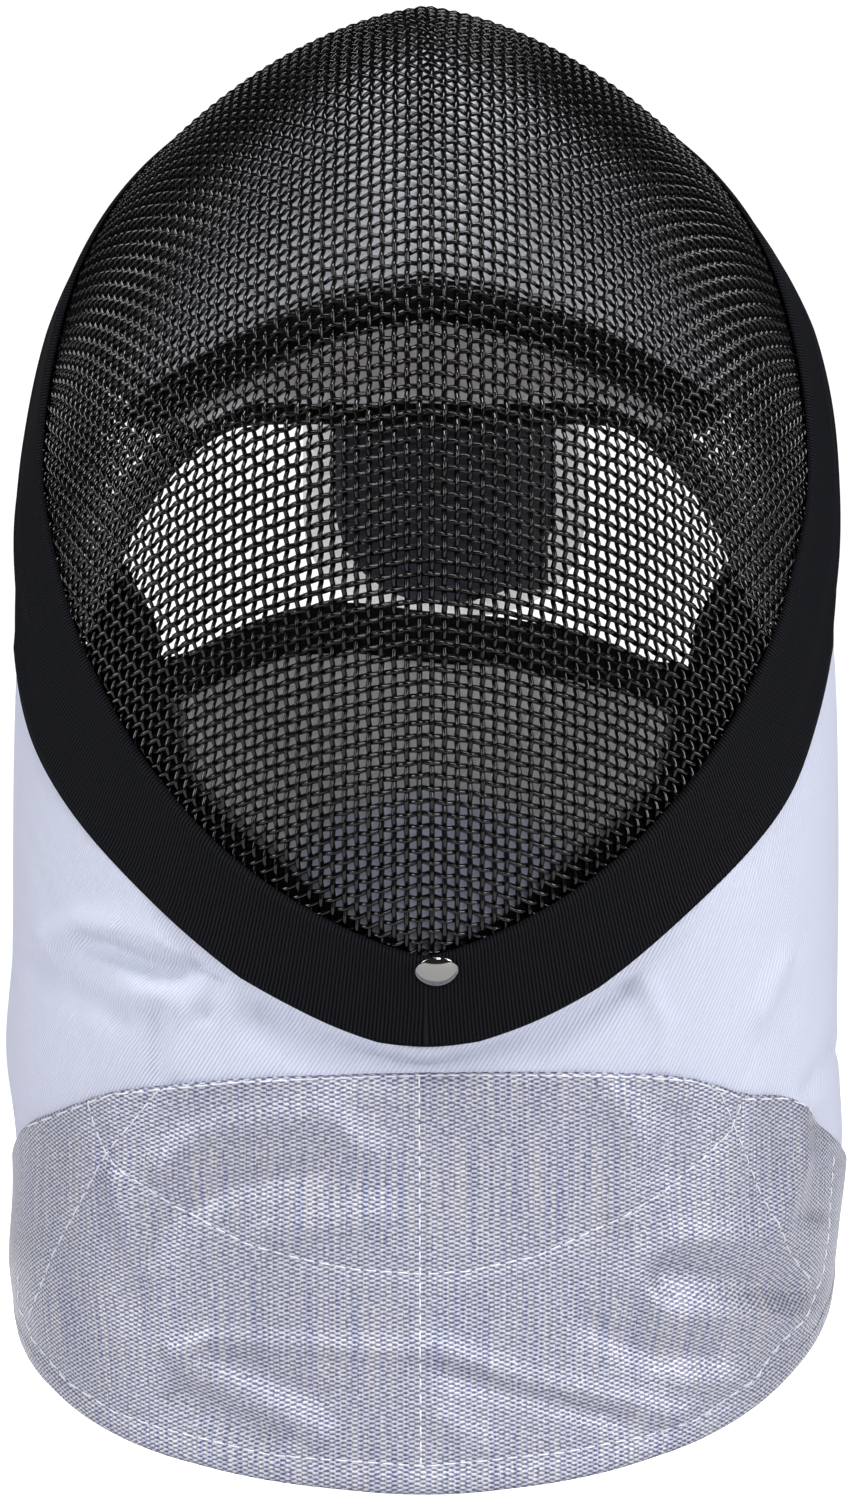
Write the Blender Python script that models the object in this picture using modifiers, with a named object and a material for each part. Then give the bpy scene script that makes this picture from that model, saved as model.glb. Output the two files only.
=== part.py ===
"""Fencing mask: a pressed wire dome with a band, a rear binding, linings, a spring tongue and a bib.

Metres, +Z up. The face looks towards -Y. The origin is where the top of the head meets the lining.
The dome over the face is a row curve carried along a ridge curve. Both curves are chains of arcs, given
by how far their tangent has turned at a few stations of arc length.
"""

import math

import bpy
import numpy as np
from mathutils import Vector

MM = 0.001

# Curves of the dome: tables hold millimetres of arc and degrees.
NOSE = np.array([0.0, -119.0, -144.0]) * MM
RIDGE_LEAN = np.array([
    # arc from nose level, lean back from upright
    (-140, -44),
    (-115, -40),
    (-85, -35),
    (-65, -28),
    (-45, -17),
    (-25, -6),
    (0, -2),
    (25, 0),
    (55, 14),
    (95, 31),
    (135, 47.5),
    (175, 65),
    (200, 79),
    (260, 112),
    (310, 132),
], float)
ROW_TURN = np.array([
    # arc from the ridge, turn from straight across
    (0, 9),
    (25, 25.5),
    (50, 37),
    (100, 55.5),
    (150, 74),
    (180, 84),
], float)
ROW_NARROWING = 0.98
ROW_TILT = np.array([
    # ridge arc, how steeply the rows fall as they run back
    (-140, 30),
    (60, 30),
    (100, 32),
    (150, 39),
    (200, 50),
    (260, 66),
    (310, 76),
], float)

# The band's line round the face: a lemon shape on the unrolled dome.
LOOP_CENTRE = 88 * MM
LOOP_HALF_WIDTH = 136 * MM
LOOP_TO_CHIN = 175 * MM
LOOP_TO_CROWN = 158 * MM
LOOP_POWER = 1.54
CROWN_POWER = 1.05
TEMPLE_ROUND = 0.06
BAND_REACH = 1.165
JOINT_REACH = 1.12

# Rear edge of the wire, and how full the wall swells between the band and that edge.
REAR_EDGE = np.array([
    # angle round from the crown, half width, back, up, fullness
    (0, 0, 103, -86, 0.64),
    (10, 14.5, 101.8, -86, 0.64),
    (20, 28.5, 97.5, -86.3, 0.63),
    (30, 42, 90, -87, 0.62),
    (45, 58, 75, -89, 0.60),
    (60, 75, 72, -107, 0.56),
    (75, 86, 71, -127, 0.52),
    (90, 86, 69, -143, 0.50),
    (110, 83, 58, -172, 0.46),
    (130, 75, 20, -207, 0.42),
    (150, 49, -32, -240, 0.36),
    (165, 23, -61, -252, 0.30),
    (180, 0, -69, -254, 0.30),
], float)

# Walls, gaps and widths.
WIRE_LAYER = 2.0 * MM
GAP = 0.3 * MM
BAND_THICK = 1.6 * MM
BINDING_THICK = 1.0 * MM
BINDING_SHARE = 0.07
BINDING_EASE = 0.5 * MM
PAD_THICK = 6.6 * MM
PAD_EASE = 0.5 * MM
CROWN_PAD_DEPTH = 3.4 * MM
BIB_THICK = 2.5 * MM
LAME_THICK = 1.0 * MM

# Linings.
CROWN_PAD_ROW = 71.5 * MM
CROWN_PAD_HALF = 92 * MM
CROWN_PAD_BAND_ANGLE = 72
CROWN_PAD_REAR_ANGLE = 48
CROWN_PAD_END = 1.90
CROWN_BINDING_SHARE = 0.026
CHIN_PAD_HALF = 90 * MM
CHIN_PAD_TOP = -6 * MM
CHIN_PAD_RISE = 14 * MM
CHIN_PAD_ARCH = 4.3 * MM
CHIN_PAD_ARCH_END = 0.8
CHIN_PAD_TILT = 2.4 * MM
CHIN_PAD_ANGLE = 55
CHIN_PAD_DEPTH = 3.1 * MM
CHIN_PAD_STAND_OFF = 8 * MM
CHIN_PAD_REACH = 1.05
CHIN_BINDING_SHARE = 0.11

# Tongue: its own side profile, from the outside of the rear wire down to its free end.
TONGUE_OFFSET = 5 * MM
TONGUE_HALF_WIDTH = 28.5 * MM
TONGUE_THICK = 4.0 * MM
TONGUE_LENGTH = 52 * MM
TONGUE_HELD = 34 * MM
TONGUE_ROUND = 34 * MM
TONGUE_STAND_OFF = 0.5 * MM
TONGUE_LIFT = 1.4 * MM
TONGUE_LIFT_ARC = 20 * MM
TONGUE_TURN_PER_MM = 30 / 42
TONGUE_WALL_ARC = 150 * MM
TONGUE_LEAN = np.array([
    # arc below the rear edge, lean from straight down towards the face
    (0, 4),
    (30, 20),
    (80, 34),
], float)
BACKING_MARGIN = 7 * MM
BACKING_THICK = 1.6 * MM

# Bib: a curtain from the band's lower edge to the hem.
BIB_ANGLE = 70
BIB_SWELL = 3.4 * MM
HEM = np.array([
    # share of the half width, across, back, up
    (0.00, 0, -79, -355),
    (0.25, 38, -73, -352),
    (0.50, 70, -57, -345),
    (0.70, 91, -34, -334.5),
    (0.82, 100, -13, -325),
    (0.92, 104, 12, -319),
    (1.00, 103, 40, -313),
], float)
HEM_SKEW = 6
BULGES = np.array([
    # side, height, half height, depth: soft bulges of the bib's edges
    (-1, -254, 18, 2.6),
    (-1, -310, 15, 2.6),
    (1, -281, 22, 3.0),
])
LAME_TOP = -253.5 * MM
LAME_DROP = 19 * MM
LAME_STAND_OFF = 0.8 * MM

# Rivet.
RIVET_RADIUS = 5.6 * MM
RIVET_HEIGHT = 2.6 * MM
RIVET_RIM = 0.6 * MM
RIVET_ROW = -92.5 * MM
RIVET_SIDE = 3 * MM

# Steps of the grids.
STEPS_ROUND = 56
STEPS_FACE = 9
STEPS_REAR = 7
STEPS_BIB = 36
STEPS_PAD = 21

HEAD_CENTRE = np.array([0.0, 0.0, -110.0]) * MM


def arc_chain(stations, arc):
    """Advance along and across a curve whose tangent turns evenly from station to station."""
    fine = np.linspace(stations[0, 0], stations[-1, 0], 800)
    angle = np.radians(np.interp(fine, stations[:, 0], stations[:, 1]))
    step = np.diff(fine)
    along = np.concatenate([[0], np.cumsum((np.cos(angle[1:]) + np.cos(angle[:-1])) / 2 * step)])
    across = np.concatenate([[0], np.cumsum((np.sin(angle[1:]) + np.sin(angle[:-1])) / 2 * step)])
    along -= np.interp(0, fine, along)
    across -= np.interp(0, fine, across)
    where = np.asarray(arc) / MM
    return np.interp(where, fine, along) * MM, np.interp(where, fine, across) * MM


def face(u, v):
    """Point of the face dome: u is arc across from the ridge, v is arc up the ridge from nose level."""
    side, bulge = arc_chain(ROW_TURN, np.abs(u))
    rise, back = arc_chain(RIDGE_LEAN, v)
    tilt = np.radians(np.interp(v / MM, ROW_TILT[:, 0], ROW_TILT[:, 1]))
    x = np.sign(u) * side * ROW_NARROWING
    y = back + bulge * np.cos(tilt)
    z = rise - bulge * np.sin(tilt)
    return NOSE + np.stack([x, y, z], axis=-1)


def loop(angle, reach):
    """Place on the unrolled dome at an angle round from the crown; reach 1 is the band's inner edge.

    Pointed at the crown and the chin, rounded at the temples.
    """
    c = np.cos(angle)
    s = np.sin(angle)
    length = np.where(c > 0, LOOP_TO_CROWN, LOOP_TO_CHIN)
    power = np.where(c > 0, CROWN_POWER, LOOP_POWER)
    u = reach * LOOP_HALF_WIDTH * np.sign(s) * np.abs(s) ** LOOP_POWER
    upright = c * ((c ** 2 + TEMPLE_ROUND) / (1 + TEMPLE_ROUND)) ** ((power - 1) / 2)
    return u, LOOP_CENTRE + reach * length * upright


def read_table(table, where, spread):
    """Columns of a table at signed places, the corners between its stations rounded over a spread.

    The second column changes sign with the place.
    """
    columns = np.zeros((table.shape[1] - 1,) + np.shape(where))
    shifts = np.linspace(-spread, spread, 7)
    for shift in shifts:
        place = where + shift
        for k in range(1, table.shape[1]):
            value = np.interp(np.abs(place), table[:, 0], table[:, k])
            columns[k - 1] += value * (np.sign(place) if k == 1 else 1) / len(shifts)
    return columns


def rear_edge(angle):
    """Point of the rear edge, and the wall's fullness there, at an angle round from the crown."""
    turned = np.degrees(np.arctan2(np.sin(angle), np.cos(angle)))
    x, y, z, fullness = read_table(REAR_EDGE, turned, 9)
    return np.stack([x, y, z], axis=-1) * MM, fullness


def unit(vectors):
    """Vectors brought to length one."""
    return vectors / np.maximum(np.linalg.norm(vectors, axis=-1, keepdims=True), 1e-12)


def dome(angle, s):
    """Point of the whole dome: s runs 0 at the forehead, 1 at the band's outer edge, 2 at the rear edge.

    Beyond the band each section is a curve with three poles. It leaves along the face's own slope.
    """
    angle, s = np.broadcast_arrays(np.asarray(angle, float), np.asarray(s, float))
    on_face = face(*loop(angle, np.minimum(s, 1) * BAND_REACH))
    start = face(*loop(angle, np.full_like(s, BAND_REACH)))
    inside = face(*loop(angle, np.full_like(s, BAND_REACH * 0.985)))
    end, fullness = rear_edge(angle)
    span = np.linalg.norm(end - start, axis=-1)
    middle = start + unit(start - inside) * (fullness * span)[..., None]
    w = np.maximum(s - 1, 0)[..., None]
    on_wall = (1 - w) ** 2 * start + 2 * w * (1 - w) * middle + w ** 2 * end
    return np.where((s <= 1)[..., None], on_face, on_wall)


def outward(surface, a, b):
    """Unit normals of a surface of two parameters, pointing away from the head."""
    step = 0.004
    across = surface(a + step, b) - surface(a - step, b)
    along = surface(a, b + step) - surface(a, b - step)
    normal = unit(np.cross(across, along))
    away = np.sum(normal * (surface(a, b) - HEAD_CENTRE), axis=-1, keepdims=True)
    return normal * np.sign(away)


def offset(surface, a, b, depth):
    """Points of a surface moved along its outward normals."""
    return surface(a, b) + outward(surface, a, b) * np.asarray(depth)[..., None]


def crown_lining(a, s):
    """Dome point for the crown pad: a runs left to right, s from 0 at the brow to 2 at the rear edge."""
    a, s = np.broadcast_arrays(np.asarray(a, float), np.asarray(s, float))
    front_u = a * CROWN_PAD_HALF
    band_angle = np.radians(a * CROWN_PAD_BAND_ANGLE)
    band_u, band_v = loop(band_angle, BAND_REACH)
    share = np.minimum(s, 1)
    on_face = face(front_u + (band_u - front_u) * share, CROWN_PAD_ROW + (band_v - CROWN_PAD_ROW) * share)
    rest = np.maximum(s - 1, 0)
    turned = np.radians(a * (CROWN_PAD_BAND_ANGLE + (CROWN_PAD_REAR_ANGLE - CROWN_PAD_BAND_ANGLE) * rest))
    return np.where((s <= 1)[..., None], on_face, dome(turned, 1 + rest))


def chin_lining(a, s):
    """Dome point for the chin pad: a runs left to right, s 0 at the top edge, 1 at the band."""
    a, s = np.broadcast_arrays(np.asarray(a, float), np.asarray(s, float))
    top_u = a * CHIN_PAD_HALF
    arch = CHIN_PAD_ARCH * np.sin(math.pi * np.minimum(np.abs(a) / CHIN_PAD_ARCH_END, 1))
    tilt = CHIN_PAD_TILT * np.sin(math.pi * a)
    top_v = CHIN_PAD_TOP + CHIN_PAD_RISE * a ** 2 + arch - tilt
    low_u, low_v = loop(np.radians(180 - a * CHIN_PAD_ANGLE), CHIN_PAD_REACH)
    return face(top_u + (low_u - top_u) * s, top_v + (low_v - top_v) * s)


def band_foot(a):
    """Point just past the band's outer edge, level with the outside of the bib."""
    angle = np.radians(180 - a * BIB_ANGLE)
    one = np.ones_like(angle)
    past = unit(dome(angle, one) - dome(angle, one * 0.98)) * 1.0 * MM
    return offset(dome, angle, one * 0.999, GAP + BIB_THICK) + past


def hem(a):
    """Point of the hem at a signed share of the half width: the left side hangs lower than the right."""
    x, y, z = read_table(HEM, a, 0.09)
    return np.stack([x, y, z + HEM_SKEW * a * np.abs(a)], axis=-1) * MM


def bulge(a, height):
    """Outward push of the cloth at a side and height: a bell for each row of the table."""
    total = np.zeros_like(height)
    for side, middle, half, depth in BULGES:
        bell = np.exp(-((height / MM - middle) / half) ** 2)
        total = total + depth * MM * bell * np.clip(side * a, 0, 1) ** 3
    return total


def bib_outside(a, b):
    """Outer face of the bib: a runs right to left edge, b 0 at the band and 1 at the hem."""
    a, b = np.broadcast_arrays(np.asarray(a, float), np.asarray(b, float))
    top = band_foot(a)
    low = hem(a)
    plan = unit((low - HEAD_CENTRE) * np.array([1.0, 1.0, 0.0]))
    swell = BIB_SWELL * np.sqrt(np.sin(math.pi * np.clip(b, 0.001, 0.999))) * np.abs(a) ** 2
    fall = top + (low - top) * b[..., None]
    return fall + plan * (swell + bulge(a, fall[..., 2]))[..., None]


def lame_start(a):
    """Share of the bib's fall at which the conductive cloth begins."""
    top = band_foot(a)[..., 2]
    low = hem(a)[..., 2]
    line = LAME_TOP - LAME_DROP * np.abs(a) ** 2
    return np.clip((top - line) / (top - low), 0.03, 0.95)


def finish(name, colour, roughness, metallic=0.0):
    """Material with the part's own colour."""
    material = bpy.data.materials.new(name)
    material.use_nodes = True
    shader = material.node_tree.nodes["Principled BSDF"]
    shader.inputs["Base Color"].default_value = (*colour, 1.0)
    shader.inputs["Roughness"].default_value = roughness
    shader.inputs["Metallic"].default_value = metallic
    return material


def sheet(name, points, material, thick, side, closed=False, pole=None, core=HEAD_CENTRE):
    """Open surface through a grid of points, given a wall by Solidify.

    side is -1 for a wall on the head's side of the points and 1 for a wall outside them.
    closed joins the last column to the first, and pole is a point that closes the first row.
    The faces point away from core.
    """
    rows, columns = points.shape[:2]
    across = points[:-1, 1:] - points[:-1, :-1]
    along = points[1:, :-1] - points[:-1, :-1]
    away = np.sum(np.cross(across, along) * (points - core)[:-1, :-1])
    faces = []
    for i in range(rows - 1):
        for j in range(columns if closed else columns - 1):
            k = (j + 1) % columns
            faces.append((i * columns + j, i * columns + k, (i + 1) * columns + k, (i + 1) * columns + j))
    vertices = [tuple(point) for point in points.reshape(-1, 3)]
    if pole is not None:
        vertices.append(tuple(pole))
        for j in range(columns):
            faces.append((rows * columns, (j + 1) % columns, j))
    mesh = bpy.data.meshes.new(name)
    mesh.from_pydata(vertices, [], faces)
    if away < 0:
        mesh.flip_normals()
    mesh.shade_smooth()
    mesh.materials.append(material)
    thing = bpy.data.objects.new(name, mesh)
    PARTS.objects.link(thing)
    wall = thing.modifiers.new("wall", "SOLIDIFY")
    wall.thickness = thick
    wall.offset = side
    return thing


def folded(name, faces_and_edge, material, closed=False):
    """Cloth folded over an edge: rows of points on the outer face, round the edge and on the inner face."""
    rows = np.stack(faces_and_edge)
    return sheet(name, rows, material, BINDING_THICK, 1, closed, core=(rows[0] + rows[-1]) / 2)


for thing in list(bpy.data.objects):
    bpy.data.objects.remove(thing, do_unlink=True)
PARTS = bpy.data.collections.new("fencing_mask")
bpy.context.scene.collection.children.link(PARTS)

STEEL = finish("painted_wire", (0.012, 0.012, 0.014), 0.35, 0.6)
ELASTIC = finish("black_elastic", (0.013, 0.014, 0.017), 0.75)
NICKEL = finish("polished_nickel", (0.75, 0.73, 0.70), 0.12, 1.0)
BINDING = finish("black_binding", (0.010, 0.010, 0.012), 0.8)
WHITE_CLOTH = finish("white_cloth", (0.70, 0.72, 0.82), 0.8)
GREY_CLOTH = finish("grey_lining", (0.26, 0.26, 0.28), 0.9)
BLACK_CLOTH = finish("black_cover", (0.016, 0.017, 0.024), 0.85)
LAME = finish("silver_lame", (0.45, 0.46, 0.52), 0.45, 0.5)


def round_angles():
    """Angles round the dome, starting at the crown."""
    return np.linspace(0, 2 * math.pi, STEPS_ROUND, endpoint=False)


def front_mesh():
    """Pressed wire over the face, to its edge under the band."""
    last = (JOINT_REACH - 0.004) / BAND_REACH
    shares = last * np.linspace(0.12, 1, STEPS_FACE)
    angle, s = np.meshgrid(round_angles(), shares)
    pole = face(np.array(0.0), np.array(LOOP_CENTRE))
    return sheet("front_mesh", dome(angle, s), STEEL, WIRE_LAYER, -1, closed=True, pole=pole)


def rear_mesh():
    """Wire from its edge under the band back to the rear edge."""
    first = (JOINT_REACH + 0.004) / BAND_REACH
    shares = np.concatenate([[first], np.linspace(1, 2 - BINDING_SHARE, STEPS_REAR), [1.997]])
    angle, s = np.meshgrid(round_angles(), shares)
    return sheet("rear_mesh", dome(angle, s), STEEL, WIRE_LAYER, -1, closed=True)


def edge_band():
    """Elastic band round the face, a little fuller between its edges."""
    shares = np.linspace(1 / BAND_REACH, 1.0, 4)
    angle, s = np.meshgrid(round_angles(), shares)
    return sheet("edge_band", offset(dome, angle, s, GAP), ELASTIC, BAND_THICK, 1, closed=True)


def rear_binding():
    """Binding folded over the rear edge of the wire."""
    angle = round_angles()
    last = np.full_like(angle, 2.0)
    first = last - BINDING_SHARE
    inner = -WIRE_LAYER - BINDING_EASE
    past = unit(dome(angle, last) - dome(angle, last - 0.02)) * BINDING_EASE
    rows = (
        offset(dome, angle, first, BINDING_EASE),
        offset(dome, angle, last, BINDING_EASE),
        offset(dome, angle, last, -WIRE_LAYER / 2) + past * 2,
        offset(dome, angle, last, inner),
        offset(dome, angle, first, inner),
    )
    return folded("rear_binding", rows, BINDING, closed=True)


def crown_pad_depth(a, s):
    """How far the crown pad's outer face lies inside the wire: more at the brow, under its binding."""
    return CROWN_PAD_DEPTH * (1 + 0.6 * np.maximum(1 - s / 0.45, 0)) + 0 * a


def crown_pad():
    """Padded lining under the crown, from the brow to the rear binding."""
    face_shares = np.linspace(1 / 7, 1, 7)
    rear_shares = np.linspace(1.15, CROWN_PAD_END, 6)
    shares = np.concatenate([[0, CROWN_BINDING_SHARE], face_shares, rear_shares])
    a, s = np.meshgrid(np.linspace(-1, 1, STEPS_PAD), shares)
    points = offset(crown_lining, a, s, -crown_pad_depth(a, s))
    return sheet("crown_pad", points, WHITE_CLOTH, PAD_THICK, -1)


def pad_binding(name, lining, a, depth, row_share):
    """Binding folded over the s = 0 edge of a lining whose outer face lies at a depth inside the dome."""
    edge = np.zeros_like(a)
    inside = edge + row_share
    middle = offset(lining, a, edge, -depth(a, edge) - PAD_THICK / 2)
    past = unit(middle - offset(lining, a, inside, -depth(a, inside) - PAD_THICK / 2)) * PAD_EASE
    rows = (
        offset(lining, a, inside, PAD_EASE - depth(a, inside)),
        offset(lining, a, edge, PAD_EASE - depth(a, edge)) + past,
        middle + past * 3,
        offset(lining, a, edge, -PAD_EASE - PAD_THICK - depth(a, edge)) + past,
        offset(lining, a, inside, -PAD_EASE - PAD_THICK - depth(a, inside)),
    )
    return folded(name, rows, BINDING)


def chin_pad_depth(a, s):
    """How far the chin pad's outer face lies inside the wire: most at the middle of its top edge."""
    return CHIN_PAD_DEPTH + CHIN_PAD_STAND_OFF * (1 - np.abs(a) ** 2) * (1 - s)


def chin_pad():
    """Padded lining of the lower face."""
    shares = np.concatenate([[0, CHIN_BINDING_SHARE], np.linspace(0.28, 1, 5)])
    a, s = np.meshgrid(np.linspace(-1, 1, STEPS_PAD), shares)
    points = offset(chin_lining, a, s, -chin_pad_depth(a, s))
    return sheet("chin_pad", points, GREY_CLOTH, PAD_THICK, -1)


def tongue_surface(half_width, length):
    """Outside of the tongue: follows the wire down to the rear edge, then bends in towards the neck."""
    def point(a, arc):
        a, arc = np.broadcast_arrays(np.asarray(a, float), np.asarray(arc, float))
        rounding = np.clip((arc - length + TONGUE_ROUND) / TONGUE_ROUND, 0, 1)
        taper = np.sqrt(np.maximum(1 - rounding ** 2.6, 0.02))
        across = TONGUE_OFFSET + a * half_width * taper
        angle = np.radians(across / MM * TONGUE_TURN_PER_MM)
        wall = dome(angle, 2 + np.minimum(arc, 0) / TONGUE_WALL_ARC)
        down, inward = arc_chain(TONGUE_LEAN, np.maximum(arc, 0))
        return wall + np.stack([np.zeros_like(down), -inward, -down], axis=-1)
    return point


def tongue_strip(name, half_width, length, stand_off, thick, material):
    """Strip of the tongue, with its inner face at a stand-off from the wire."""
    surface = tongue_surface(half_width, length)
    below = length - (length * 0.55) * np.linspace(1, 0, 6) ** 1.5
    a, arc = np.meshgrid(np.linspace(-1, 1, 7), np.concatenate([np.linspace(-TONGUE_HELD, 0, 4), below]))
    over_binding = TONGUE_LIFT * np.clip((arc + TONGUE_LIFT_ARC) / (8 * MM), 0, 1)
    return sheet(name, offset(surface, a, arc, stand_off + over_binding), material, thick, 1)


def bib():
    """Padded cloth from the band down over the throat."""
    a, b = np.meshgrid(np.linspace(-1, 1, STEPS_BIB + 1), np.linspace(0, 1, 9))
    return sheet("bib", bib_outside(a, b), WHITE_CLOTH, BIB_THICK, -1)


def lame_panel():
    """Conductive cloth over the lower bib."""
    a, share = np.meshgrid(np.linspace(-0.995, 0.995, STEPS_BIB + 1), np.linspace(0, 1, 6))
    start = lame_start(a)
    b = start + (0.995 - start) * share
    return sheet("lame_panel", offset(bib_outside, a, b, LAME_STAND_OFF), LAME, LAME_THICK, 1)


def chin_rivet():
    """Domed rivet head on the band, turned from its profile."""
    angles = np.linspace(0, math.pi / 2, 5)
    dome_height = RIVET_HEIGHT - RIVET_RIM
    outline = [(RIVET_RADIUS * math.sin(t), RIVET_RIM + dome_height * math.cos(t)) for t in angles]
    outline += [(RIVET_RADIUS, 0.0), (0.0, 0.0)]
    mesh = bpy.data.meshes.new("chin_rivet")
    edges = [(k, k + 1) for k in range(len(outline) - 1)]
    mesh.from_pydata([(radius, 0.0, height) for radius, height in outline], edges, [])
    mesh.materials.append(NICKEL)
    rivet = bpy.data.objects.new("chin_rivet", mesh)
    PARTS.objects.link(rivet)
    u = np.array(RIVET_SIDE)
    v = np.array(RIVET_ROW)
    seat = 2 * GAP + BAND_THICK
    rivet.location = Vector(offset(face, u, v, seat).tolist())
    rivet.rotation_euler = Vector(outward(face, u, v).tolist()).to_track_quat("Z", "Y").to_euler()
    turn = rivet.modifiers.new("turned", "SCREW")
    turn.steps = 20
    turn.render_steps = 20
    turn.use_merge_vertices = True
    turn.merge_threshold = 0.00001
    return rivet


front_mesh()
rear_mesh()
edge_band()
rear_binding()
crown_pad()
across = np.linspace(-1, 1, STEPS_PAD)
pad_binding("crown_pad_binding", crown_lining, across, crown_pad_depth, CROWN_BINDING_SHARE)
chin_pad()
pad_binding("chin_pad_binding", chin_lining, across[1:-1], chin_pad_depth, CHIN_BINDING_SHARE)
tongue_strip("rear_tongue", TONGUE_HALF_WIDTH, TONGUE_LENGTH, TONGUE_STAND_OFF, TONGUE_THICK, BLACK_CLOTH)
tongue_strip(
    "tongue_backing",
    TONGUE_HALF_WIDTH + BACKING_MARGIN,
    TONGUE_LENGTH + BACKING_MARGIN / 2,
    TONGUE_STAND_OFF + TONGUE_THICK + 3 * GAP,
    BACKING_THICK,
    GREY_CLOTH,
)
bib()
lame_panel()
chin_rivet()
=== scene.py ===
# %% [markdown]
# # A fencing mask
# This lesson builds the looks of a fencing mask around its fixed CAD frame: woven wire, an elastic
# band, a polished rivet, linings, a spring tongue, and a bib with a conductive panel.
# Every new piece is a surface worked out on a grid, or a profile carried along a path.

# %% Load the frame
import math

import bpy
import numpy as np
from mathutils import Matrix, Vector


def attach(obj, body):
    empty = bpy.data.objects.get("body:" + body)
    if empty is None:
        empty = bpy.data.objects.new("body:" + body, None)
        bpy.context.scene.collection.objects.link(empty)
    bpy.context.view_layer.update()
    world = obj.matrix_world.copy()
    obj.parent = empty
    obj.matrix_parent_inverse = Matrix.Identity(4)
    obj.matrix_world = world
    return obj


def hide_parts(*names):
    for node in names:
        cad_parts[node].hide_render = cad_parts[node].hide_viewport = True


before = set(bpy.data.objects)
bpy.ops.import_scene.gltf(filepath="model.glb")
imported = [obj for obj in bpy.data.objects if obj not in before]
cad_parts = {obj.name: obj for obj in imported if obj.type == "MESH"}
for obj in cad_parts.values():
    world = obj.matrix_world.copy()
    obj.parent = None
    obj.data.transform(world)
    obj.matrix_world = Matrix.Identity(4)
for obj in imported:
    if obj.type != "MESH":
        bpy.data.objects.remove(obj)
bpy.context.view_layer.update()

MM = 0.001

# %% [markdown]
# ## The dome
# A pressed mask is a mesh bent over a former. Its shape is easiest to hold as two curves: a ridge seen
# from the side, and a row seen from above. Carrying the row along the ridge gives every point of the
# face. Each curve is a chain of arcs, so a short table of directions is enough.

# %% Curves of the dome
# arc from nose level in mm, lean back from upright in degrees
RIDGE_LEAN = np.array([
    (-140, -44), (-115, -40), (-85, -35), (-65, -28), (-45, -17), (-25, -6), (0, -2), (25, 0),
    (55, 14), (95, 31), (135, 47.5), (175, 65), (200, 79), (260, 112), (310, 132),
], float)
# arc from the ridge in mm, turn from straight across in degrees
ROW_TURN = np.array([(0, 9), (25, 25.5), (50, 37), (100, 55.5), (150, 74), (180, 84)], float)
# ridge arc in mm, how steeply the rows fall as they run back
ROW_TILT = np.array([(-140, 30), (60, 30), (100, 32), (150, 39), (200, 50), (260, 66), (310, 76)], float)
NOSE = np.array([0.0, -119.0, -144.0]) * MM
ROW_NARROWING = 0.98
HEAD_CENTRE = np.array([0.0, 0.0, -110.0]) * MM
SLOPE_STEP = 0.004  # a surface's slope is taken over this step of its parameters to either side


def ramp(x):
    """x held between 0 and 1."""
    return np.clip(x, 0, 1)


def alike(*values):
    """Numbers and arrays as float arrays of one common shape."""
    return np.broadcast_arrays(*(np.asarray(value, float) for value in values))


def arc_chain(stations, arc):
    """Advance along and across a curve: the sums of cosine and sine of its direction over arc length."""
    fine = np.linspace(stations[0, 0], stations[-1, 0], 800)
    angle = np.radians(np.interp(fine, stations[:, 0], stations[:, 1]))
    step = np.diff(fine)
    along = np.concatenate([[0], np.cumsum((np.cos(angle[1:]) + np.cos(angle[:-1])) / 2 * step)])
    across = np.concatenate([[0], np.cumsum((np.sin(angle[1:]) + np.sin(angle[:-1])) / 2 * step)])
    along -= np.interp(0, fine, along)
    across -= np.interp(0, fine, across)
    where = np.asarray(arc) / MM
    return np.interp(where, fine, along) * MM, np.interp(where, fine, across) * MM


def face(u, v):
    """Outer face of the wire: the row's point at arc u, tilted, added to the ridge's point at arc v."""
    side, bulge = arc_chain(ROW_TURN, np.abs(u))
    rise, back = arc_chain(RIDGE_LEAN, v)
    tilt = np.radians(np.interp(v / MM, ROW_TILT[:, 0], ROW_TILT[:, 1]))
    x = np.sign(u) * side * ROW_NARROWING
    return NOSE + np.stack([x, back + bulge * np.cos(tilt), rise - bulge * np.sin(tilt)], axis=-1)


# %% [markdown]
# ## The band's line and the rear wall
# On the unrolled dome the band runs along a lemon shape, pointed at crown and chin. Behind it each
# section of the wire is a curve with three poles that leaves the face along its own slope and ends on
# the rear edge. `dome` joins the two parts: `s` is 1 at the band's outer edge and 2 at the rear edge.

# %% Band line, rear edge and whole dome
LOOP_CENTRE = 88 * MM
LOOP_HALF_WIDTH = 136 * MM
LOOP_TO_CHIN = 175 * MM
LOOP_TO_CROWN = 158 * MM
LOOP_POWER = 1.54
CROWN_POWER = 1.05
TEMPLE_ROUND = 0.06
BAND_REACH = 1.165
JOINT_REACH = 1.12
# angle round from the crown, half width, back, up, fullness of the wall
REAR_EDGE = np.array([
    (0, 0, 103, -86, 0.64), (10, 14.5, 101.8, -86, 0.64), (20, 28.5, 97.5, -86.3, 0.63),
    (30, 42, 90, -87, 0.62), (45, 58, 75, -89, 0.60), (60, 75, 72, -107, 0.56), (75, 86, 71, -127, 0.52),
    (90, 86, 69, -143, 0.50), (110, 83, 58, -172, 0.46), (130, 75, 20, -207, 0.42),
    (150, 49, -32, -240, 0.36), (165, 23, -61, -252, 0.30), (180, 0, -69, -254, 0.30),
], float)


def upright_share(c):
    """Height on the lemon at cosine c: c times (c squared plus a little) to half the power less one."""
    power = np.where(c > 0, CROWN_POWER, LOOP_POWER)
    return c * ((c ** 2 + TEMPLE_ROUND) / (1 + TEMPLE_ROUND)) ** ((power - 1) / 2)


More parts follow.
